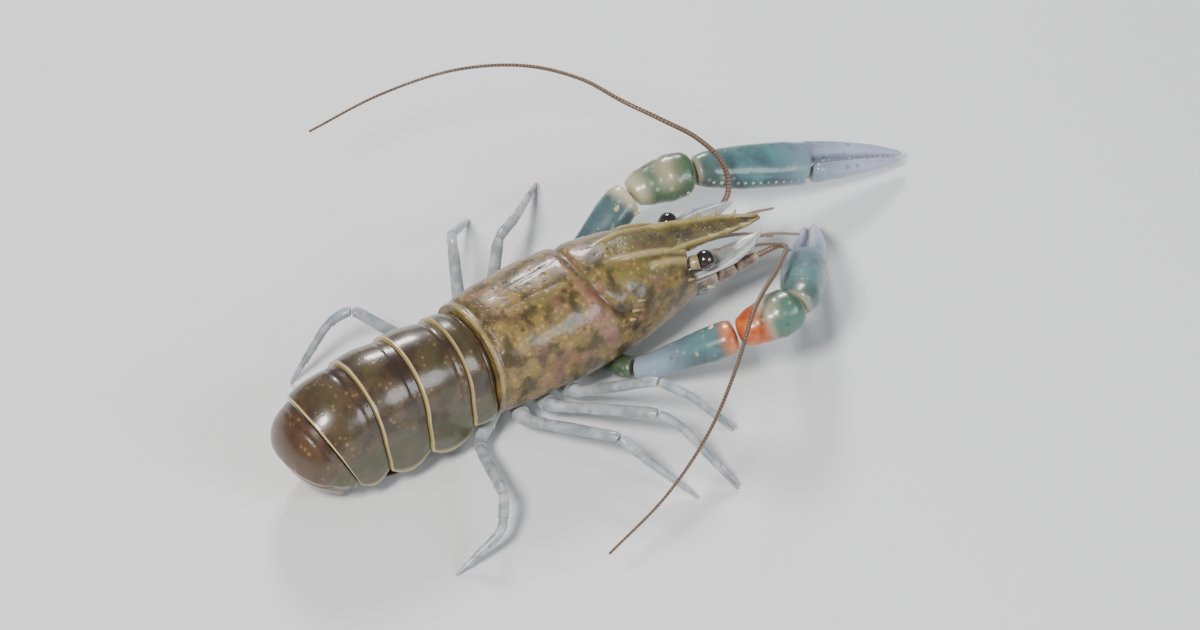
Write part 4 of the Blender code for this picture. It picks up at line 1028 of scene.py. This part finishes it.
def limb_spines(route, start, end, rows, out_by, side):
    """Spines on the inner side of a limb, leaning forward."""
    for share, lean, length in rows:
        centre, ahead, up, across = route.frame(start + (end - start) * share)
        out = unit(across * side * (1 - abs(lean)) + up * lean)
        yield cone(centre + out * out_by, out + 0.75 * ahead, length, 0.75)


def build_arm(side, word, paint):
    points = CLAWS[word]
    route = Route(rounded(points, ARM_BEND))
    hip, elbow, wrist = (route.near(p) for p in points[1:4])
    half = GAP / 2
    orange = 1.0 if word == "right" else 0.0

    def root_tags(t, turn):
        # Olive hip piece with painted shade over all of it
        return {"olive": 0.9, "hollow": 0.7, "pale": 0.2 * smooth(t, 0.8, 1.0)}

    def arm_tags(t, turn):
        rims = smooth(t, 0.84, 0.96) * (1 - 0.9 * orange) + 0.4 * (1 - smooth(t, 0.0, 0.05))
        return {"tip": 0.45 * orange * (1 - smooth(t, 0.1, 0.7)) + 0.12,
                "olive": 0.25 * smooth(t, 0.5, 1.0),
                "pale": np.clip(rims, 0, 1),
                "warm": 0.95 * orange * smooth(t, 0.84, 0.95)}

    def wrist_tags(t, turn):
        blotch = 0.55 * hill(t, 0.55, 0.16) * hill(np.cos(turn - 1.6), 1.0, 0.5)
        cream = (1 - orange) * (1 - smooth(t, 0.06, 0.34)) * 0.85
        rims = 0.7 * smooth(t, 0.93, 0.99) + orange * hill(t, 0.47, 0.06) * 0.35
        return {"olive": 0.75 * (1 - 0.35 * orange),
                "pale": np.clip(cream + blotch + rims, 0, 1),
                "warm": np.clip(orange * (1 - smooth(t, 0.30, 0.55)) * 1.2, 0, 1)}

    limb_piece("arm_root_" + word, "claw_hip_" + word, "claw", paint, route, 0.0, hip - half, HIP_SIZES,
               root_tags, (0.0, 0.5), 30, 30)
    limb_piece("arm_" + word, "claw_arm_" + word, "claw", paint, route, hip + half, elbow - half,
               MERUS_SIZES, arm_tags, (0.6, 0.8), 70, 48, 2.2, lumpy(0.012, 1.0),
               limb_spines(route, hip, elbow, ARM_SPINES, ARM_SPINE_OUT, side))
    limb_piece("wrist_" + word, "claw_wrist_" + word, "joint", paint, route, elbow + half, wrist - half,
               CARPUS_SIZES, wrist_tags, (0.8, 0.8), 64, 52, 2.2, lumpy(0.02, 2.0),
               limb_spines(route, elbow, wrist, WRIST_SPINES, WRIST_SPINE_OUT, side))
    build_hand(route, wrist, word, side, paint)


def build_hand(route, wrist, word, side, paint):
    span = route.length - wrist

    def sided(rows):
        return [(share, half, high, -shift * side) for share, half, high, shift in rows]

    rings, t, _ = tube(route, wrist + GAP / 2, route.length, sided(PALM_SIZES + FIXED_SIZES),
                       150, 56, (0.8, 1.2), 2.3, shape=lumpy(0.012, 3.0))
    tags = {"tip": np.clip(smooth(t, 0.30, 0.86) + 0.10, 0, 1), "olive": 0.4 * (1 - smooth(t, 0.02, 0.2)),
            "pale": 0.6 * (1 - smooth(t, 0.0, 0.03)) + 0.25 * smooth(t, 0.95, 1.0)}
    Patch().loft(rings, tags).piece("hand_" + word, "claw_palm_" + word, "claw", paint, 50)

    first, last = MOVING_SIZES[0][0], MOVING_SIZES[-1][0]
    rows = [((row[0] - first) / (last - first),) + row[1:] for row in sided(MOVING_SIZES)]
    rings, t, _ = tube(route, wrist + span * first, wrist + span * last, rows,
                       100, 36, (1.4, 1.2), 2.2)
    tags = {"tip": np.clip(0.45 + 0.6 * smooth(t, 0.0, 0.6), 0, 1),
            "pale": 0.25 * smooth(t, 0.9, 1.0) + 0.3 * (1 - smooth(t, 0.0, 0.05))}
    Patch().loft(rings, tags).piece("finger_" + word, "claw_finger_" + word, "claw", paint, 50)
    dress_hand(route, wrist, span, word, side, paint)


def dress_hand(route, wrist, span, word, side, paint):
    """Granules along the inner edge of the palm and teeth between the fingers."""
    rows = np.array(PALM_SIZES)
    s = np.linspace(0.07, 0.5, 13)
    centre, ahead, up, across = route.frame(wrist + span * s)
    half = np.interp(s, rows[:, 0], rows[:, 1])
    inner = across * side
    for k, (lift, radius) in enumerate(zip((0.35, -0.25), PALM_GRAINS)):
        aims = unit(inner + up * lift + ahead * 0.3)
        roots = centre + inner * (half * (0.93 - 0.06 * k))[:, None] + up * lift * 2.6
        sow("palm_granules_%s_%d" % (word, k), "granule", roots, aims, 1.0, radius,
            "claw_palm_" + word, "claw", paint, 0.3, 5 + k, {"pale": 0.8})
    for label, table, node, facing, reach in (("fixed", FIXED_SIZES, "claw_palm_", 1, 0.97),
                                              ("moving", MOVING_SIZES, "claw_finger_", -1, 0.95)):
        table = np.array(table)
        s = np.linspace(table[0, 0] + 0.04, reach, 17)
        centre, ahead, up, across = route.frame(wrist + span * s)
        half = np.interp(s, table[:, 0], table[:, 1])
        shift = np.interp(s, table[:, 0], table[:, 3]) * -side
        edge = shift + facing * side * (half * 0.92)
        roots = centre + across * edge[:, None]
        sow("%s_teeth_%s" % (label, word), "granule", roots, across * side * facing, 1.0, TOOTH_RADIUS,
            node + word, "claw", paint, 0.35, 9, {"pale": 0.6, "tip": 0.8})


# Walking legs

def build_leg(name, paint):
    side = 1 if name.endswith("left") else -1
    y, hip, knee, ankle, tip = LEGS[name]
    route = Route(rounded([(side * ROOT_X, y, ROOT_Z), hip, knee, ankle, tip], LEG_BEND))
    bend = route.near(knee)
    blue = 0.2 + 0.3 * RNG.random()
    halves = (("upper", 0.0, bend - KNEE_GAP, UPPER_SIZES, UPPER_CUTS),
              ("lower", bend + KNEE_GAP, route.length, LOWER_SIZES, LOWER_CUTS))
    for part, start, end, sizes, cuts in halves:
        patch, upper = Patch(), part == "upper"
        for k in range(3):
            last = not upper and k == 2
            leg_segment(patch, route, start, end, sizes, cuts[k:k + 2], k > 0, last, upper, blue)
        if not upper and name.startswith(PINCERS):
            s = bend + (route.length - bend) * np.linspace(PINCER_FROM, 0.97, 12)
            centre, _, up, _ = route.frame(s)
            prong = Route(centre + up * PINCER_SHIFT)
            rings, t, _ = tube(prong, 0.0, prong.length, PINCER_SIZES, 24, 12, (0.0, 0.4))
            patch.loft(grounded(rings), {"warm": 0.8 * smooth(t, 0.4, 1.0), "blue": blue})
        patch.piece("%s_%s_form" % (name, part), "%s_%s" % (name, part), "leg", paint)
    leg_bristles(name, route, bend, paint)


def grounded(rings):
    """Rings with nothing under the floor."""
    rings[..., 2] = np.maximum(rings[..., 2], 0.0)
    return rings


def leg_segment(patch, route, start, end, sizes, span, jointed, last, upper, blue):
    """One segment; a jointed one begins narrow inside the knuckle of the one before."""
    def shape(t, turn):
        knuckle = 0.0 if last else 0.07 * smooth(t, 0.72, 0.97)
        neck = 0.12 * (1 - smooth(t, 0.0, 0.22)) if jointed else 0.0
        return 1.0 + knuckle - neck

    first = start + (end - start) * span[0] - (SLIP if jointed else 0.0)
    soft = (0.3 if jointed or not upper else 0.0, 0.3 if last else 0.22)
    rings, t, _ = tube(route, first, start + (end - start) * span[1], sizes, 34, 18,
                       soft, 2.1, span, shape)
    # Painted shade in the creases at each joint
    crease = 0.3 * hill(t, 1.0, 0.02) + (0.5 * hill(t, 0.0, 0.06) if jointed else 0.0)
    warm = 0.8 * smooth(t, 0.6, 1.0) if last else 0.35 * smooth(t, 0.88, 1.0)
    patch.loft(grounded(rings), {"warm": warm, "blue": blue, "hollow": crease})


def leg_bristles(name, route, bend, paint):
    spread = route.length - bend
    s = bend + spread * np.sort(RNG.uniform(0.3, 0.92, 70))
    centre, ahead, up, across = route.frame(s)
    turn = RNG.uniform(0, 2 * np.pi, len(s))
    shares, halves, heights = zip(*LOWER_SIZES)
    half, high = (np.interp((s - bend) / spread, shares, rows) for rows in (halves, heights))
    out = across * np.cos(turn)[:, None] + up * np.sin(turn)[:, None]
    reach = half * np.abs(np.cos(turn)) + high * np.abs(np.sin(turn))
    roots = centre + out * (reach * 0.8)[:, None]
    keep = roots[:, 2] > 1.2
    sow(name + "_bristles", "bristle", roots[keep], (out * 0.5 + ahead)[keep], *LEG_HAIR,
        name + "_lower", "leg", paint, 0.35, 11)


# Abdomen

def abdomen_sizes(q):
    rows = np.array([(b[0], b[1], v[0], v[1], w) for b, v, w in ABDOMEN])
    return curve(np.arange(len(ABDOMEN)), rows, q)


def abdomen_frame(q):
    by, bz, vy, vz, half = abdomen_sizes(q).T
    belly = np.stack([np.zeros_like(vy), vy, vz], axis=-1)
    back = np.stack([np.zeros_like(by), by, bz], axis=-1)
    height = np.linalg.norm(back - belly, axis=-1)
    rise = (back - belly) / height[:, None]
    return belly, rise, np.cross(rise, (1.0, 0.0, 0.0)), height, half


def build_somite(number, paint):
    t = np.concatenate([np.linspace(0, 0.24, 12), np.linspace(0.26, 0.9, 22), np.linspace(0.915, 1.0, 8)])
    belly, rise, normal, height, half = abdomen_frame(number - 1 + t)
    push = np.interp(t, (0.0, 0.02, 0.98, 1.0), (GAP / 2, 0.0, 0.0, -GAP / 2))
    belly = belly + normal * push[:, None]
    flare = RING_STEP * (t**0.7 - 0.6) - 0.12 * (1 - smooth(t, 0.05, 0.25)) + 0.05 * smooth(t, 0.93, 0.97)
    angle = np.linspace(0.0, np.pi, 121)
    lift_share = np.sin(angle) ** 0.9
    crease = hill(t, 0.2, 0.04)[:, None] * smooth(lift_share, 0.05, 0.3)[None]
    wide, top = half + flare, height + flare
    shoulder = SHOULDER * height
    relief = -0.12 * crease + 0.18 * hill(t, 0.6, 0.25)[:, None]
    x = (wide[:, None] + relief) * np.cos(angle)[None]
    lift = shoulder[:, None] + (top - shoulder)[:, None] * lift_share[None] + relief * lift_share[None]
    drop = PLEURON_DROP[number - 1] * np.sin(np.pi * np.minimum(1.0, 0.12 + 0.8 * t)) ** 0.8
    hang = 0.02 * height - drop
    v = np.linspace(0.0, 1.0, 16)[1:]
    side_x = np.interp(v, *zip(*SIDE_BULGE))
    side_lift = shoulder[:, None] + (hang - shoulder)[:, None] * v[None] ** 0.9
    edge = 0.14 * hill(v, 0.9, 0.08)[None]
    right_x = -(wide[:, None] * side_x[None] + edge)
    inner_x = np.array([-x for x in BELLY_X] + [0.0] + list(BELLY_X[::-1]))
    half_lift = [hang, hang + HEM_RISE] + [share * height for share in BELLY_RISE]
    inner_lift = np.stack(half_lift + [MIDDLE_RISE * height] + half_lift[::-1], axis=1)
    xs = np.concatenate([x, right_x, wide[:, None] * inner_x[None], -right_x[:, ::-1]], axis=1)
    lifts = np.concatenate([lift, side_lift, inner_lift, side_lift[:, ::-1]], axis=1)
    rings = belly[:, None] + rise[:, None] * lifts[..., None]
    rings[..., 0] = xs

    def full(over, side, under=0.0):
        side = np.broadcast_to(side, side_lift.shape)
        return np.concatenate([np.broadcast_to(over, x.shape), side, np.full(inner_lift.shape, under),
                               side[:, ::-1]], axis=1)

    back_edge = smooth(t, 0.945, 0.965)[:, None] * (0.3 if number == 6 else 1.0)
    hem = 0.7 * hill(v, 0.93, 0.06)[None]
    middle = hill(t, 0.62, 0.3)[:, None]
    # Painted shade at the front of the ring, where it slips under the one before
    neck = (1 - smooth(t, 0.02, 0.16))[:, None]
    tags = {"pale": full(back_edge * 0.95, np.clip(back_edge * 0.8 + hem, 0, 1)),
            "green": full(middle * (0.3 + 0.7 * lift_share[None]), 0.35),
            "side": full(0.3 * (1 - lift_share[None] ** 0.5), 0.75),
            "red": full(REDNESS[number - 1] * (0.5 + 0.5 * lift_share[None]), 0.0),
            # Painted shade in the crease and at the front; a little on the side plates and underside
            "hollow": full(np.clip(0.6 * crease + 0.6 * neck, 0, 1), 0.1, 0.2),
            "under": full(0.0, 0.0, 1.0)}
    patch = Patch().loft(grounded(rings), tags)
    if number in PLEOPODS:
        for side in (1, -1):
            swimmeret(patch, number, side)
    patch.piece("ring_%d" % number, "somite_%d" % number, "abdomen", paint, 55)


def swimmeret(patch, number, side):
    _, _, vy, vz, half = abdomen_sizes(number - 0.5)[0]
    front, rear = abdomen_sizes(number - 1)[0], abdomen_sizes(number)[0]
    length = PLEOPODS[number]
    ahead = unit((0.0, front[2] - rear[2], front[3] - rear[3]))
    over = np.cross(ahead, (1.0, 0.0, 0.0))
    root = np.array((side * half * 0.42, vy, vz)) + 1.6 * over
    tip = np.array((side * half * 0.46, vy, vz)) + 0.7 * length * ahead - 0.4 * length * over
    route = Route(flowing([root, (root + tip) / 2 - 0.2 * over, tip]))
    rings, _, _ = tube(route, 0.0, route.length, SWIMMERET_SIZES, 20, 16)
    patch.loft(rings, {"under": 1.0, "pale": 0.3})


def seat(z):
    """How far back a leaf may reach at height z, a gap short of the last ring."""
    (by, bz), (vy, vz) = ABDOMEN[-1][:2]
    along = unit((by - vy, bz - vz))
    return by + (z - bz) * along[0] / along[1] - GAP / abs(along[1])


def build_blade(name, rows, layer, paint, fringe, ribs):
    """One leaf of the fan, flat below and domed above, with hairs round its hind edge."""
    rows, (floor, root_thick) = np.array(rows), layer
    t = np.linspace(0.0, 1.0, LEAF_STATIONS)
    spots = np.linspace(0, 1, len(rows))
    x, y, half = curve(spots, rows, t).T
    middle = np.stack([x, y], axis=-1)
    half = half * np.sqrt(np.clip(1.0 - smooth(t, 0.93, 1.0) * 0.8, 0.05, 1))
    run = unit(curve(spots, rows[:, :2], t + 0.03) - curve(spots, rows[:, :2], t - 0.03))
    across = np.stack([-run[:, 1], run[:, 0]], axis=-1)
    thick = root_thick * (1.0 - 0.45 * t)
    u = np.linspace(1.0, -1.0, 25)
    rib = 0.10 * sum(hill(u, place, 0.07) for place in ribs)
    dome = (0.35 + 0.62 * (1 - u**2) + rib)[None] * thick[:, None]
    bar = 0.08 * hill(t, 0.68, 0.02)[:, None]
    top_z = floor + np.clip(dome - bar, 0.05, root_thick)
    aside = across[:, None] * (half[:, None] * u)[..., None]
    flat = np.stack([x[:, None] + aside[..., 0], y[:, None] + aside[..., 1], top_z], axis=-1)
    low = flat[:, ::-1].copy()
    low[..., 2] = floor
    rings = np.concatenate([flat, low], axis=1)
    reach = smooth(t, 0.0, 0.12)[:, None]
    rings[..., 1] = np.minimum(rings[..., 1], seat(rings[..., 2])) * (1 - reach) + rings[..., 1] * reach
    rings[..., 1] = np.minimum(rings[..., 1], seat(rings[..., 2]))
    hind = np.repeat(0.5 * smooth(t, 0.9, 1.0)[:, None], len(u), 1)
    pale = np.concatenate([hind + 0.35 * hill(np.abs(u), 1.0, 0.08)[None], hind], axis=1)
    Patch().loft(rings, {"pale": pale}).piece(name + "_blade", name, "fan", paint, 50)
    edge, aims = [], []
    for k in (1, -1):
        edge += [(*spot, floor + 0.25) for spot in (middle + k * half[:, None] * across)[FRINGE_FROM:]]
        aims += [(*aim, 0.05) for aim in (run + 0.7 * k * across)[FRINGE_FROM:]]
    sow(name + "_fringe", "bristle", edge, aims, *FAN_HAIR, name, "fan", fringe, 0.3, 13)


# Stage

def build_stage():
    bpy.ops.mesh.primitive_plane_add(size=FLOOR_SIZE, location=(0, 0, 0))
    floor = bpy.context.object
    floor.name = "floor"
    p = Paint("floor_pale")
    p.finish(FLOOR_COLOUR, 0.55)
    floor.data.materials.append(p.made)
    for name, place, size, power, tint in LAMPS:
        data = bpy.data.lights.new(name, "AREA")
        data.shape, data.size, data.energy, data.color = "DISK", size, power, tint
        lamp = bpy.data.objects.new(name, data)
        lamp.location = place
        lamp.rotation_euler = (-Vector(place)).to_track_quat("-Z", "Y").to_euler()
        bpy.context.scene.collection.objects.link(lamp)
    world = bpy.data.worlds.new("studio")
    bpy.context.scene.world = world
    world.use_nodes = True
    sky = world.node_tree.nodes["Background"]
    sky.inputs["Color"].default_value, sky.inputs["Strength"].default_value = SKY_TINT, SKY_STRENGTH


def build_camera():
    low, high = START
    centre = (Vector(low) + Vector(high)) / 2 + AIM_SHIFT
    centre.z = AIM_HEIGHT
    level = math.cos(ELEVATION)
    back = Vector((math.sin(AZIMUTH) * level, -math.cos(AZIMUTH) * level, math.sin(ELEVATION)))
    data = bpy.data.cameras.new("camera")
    data.lens, data.clip_start, data.clip_end = LENS, 0.01, 20.0
    camera = bpy.data.objects.new("camera", data)
    camera.location = centre + back * DISTANCE
    camera.rotation_mode = "QUATERNION"
    camera.rotation_quaternion = (-back).to_track_quat("-Z", "Y")
    bpy.context.scene.collection.objects.link(camera)
    bpy.context.scene.camera = camera


def build():
    shell, rings, claw = shell_paint(), abdomen_paint(), claw_paint()
    leg, feeler = leg_paint(), feeler_paint()
    belly = plain_paint("belly_damp", rgb(0.24, 0.23, 0.18), rgb(0.40, 0.38, 0.31))
    fan = plain_paint("fan_wet", rgb(0.050, 0.036, 0.018), rgb(0.125, 0.088, 0.038), 260.0, 0.3, 0.4)
    fringe = plain_paint("fringe_damp", rgb(0.22, 0.17, 0.10), rgb(0.36, 0.29, 0.19), 260.0, 0.5, 0.0)
    stalk = plain_paint("stalk_damp", rgb(0.10, 0.075, 0.035), rgb(0.22, 0.17, 0.09))
    dark = eye_paint()
    build_carapace(shell)
    build_rostrum(shell)
    build_sternum(belly)
    for side, word in ((1, "left"), (-1, "right")):
        build_eye(side, word, dark, stalk)
        build_antennule(side, word, feeler)
        build_antenna(side, word, claw, leg, feeler)
        build_jaw(side, word, leg)
        build_arm(side, word, claw)
    for name in LEGS:
        build_leg(name, leg)
    for number in range(1, len(ABDOMEN)):
        build_somite(number, rings)
    build_blade("telson", TELSON, TELSON_LAYER, fan, fringe, TELSON_RIBS)
    for side, word in ((1, "left"), (-1, "right")):
        for leaf, rows, layer, ribs in (("inner_", ENDOPOD, INNER_LAYER, INNER_RIBS),
                                        ("outer_", EXOPOD, OUTER_LAYER, OUTER_RIBS)):
            sided = [(x * side, y, half) for x, y, half in rows]
            build_blade("uropod_" + leaf + word, sided, layer, fan, fringe, ribs)
    build_stage()
    build_camera()


build()
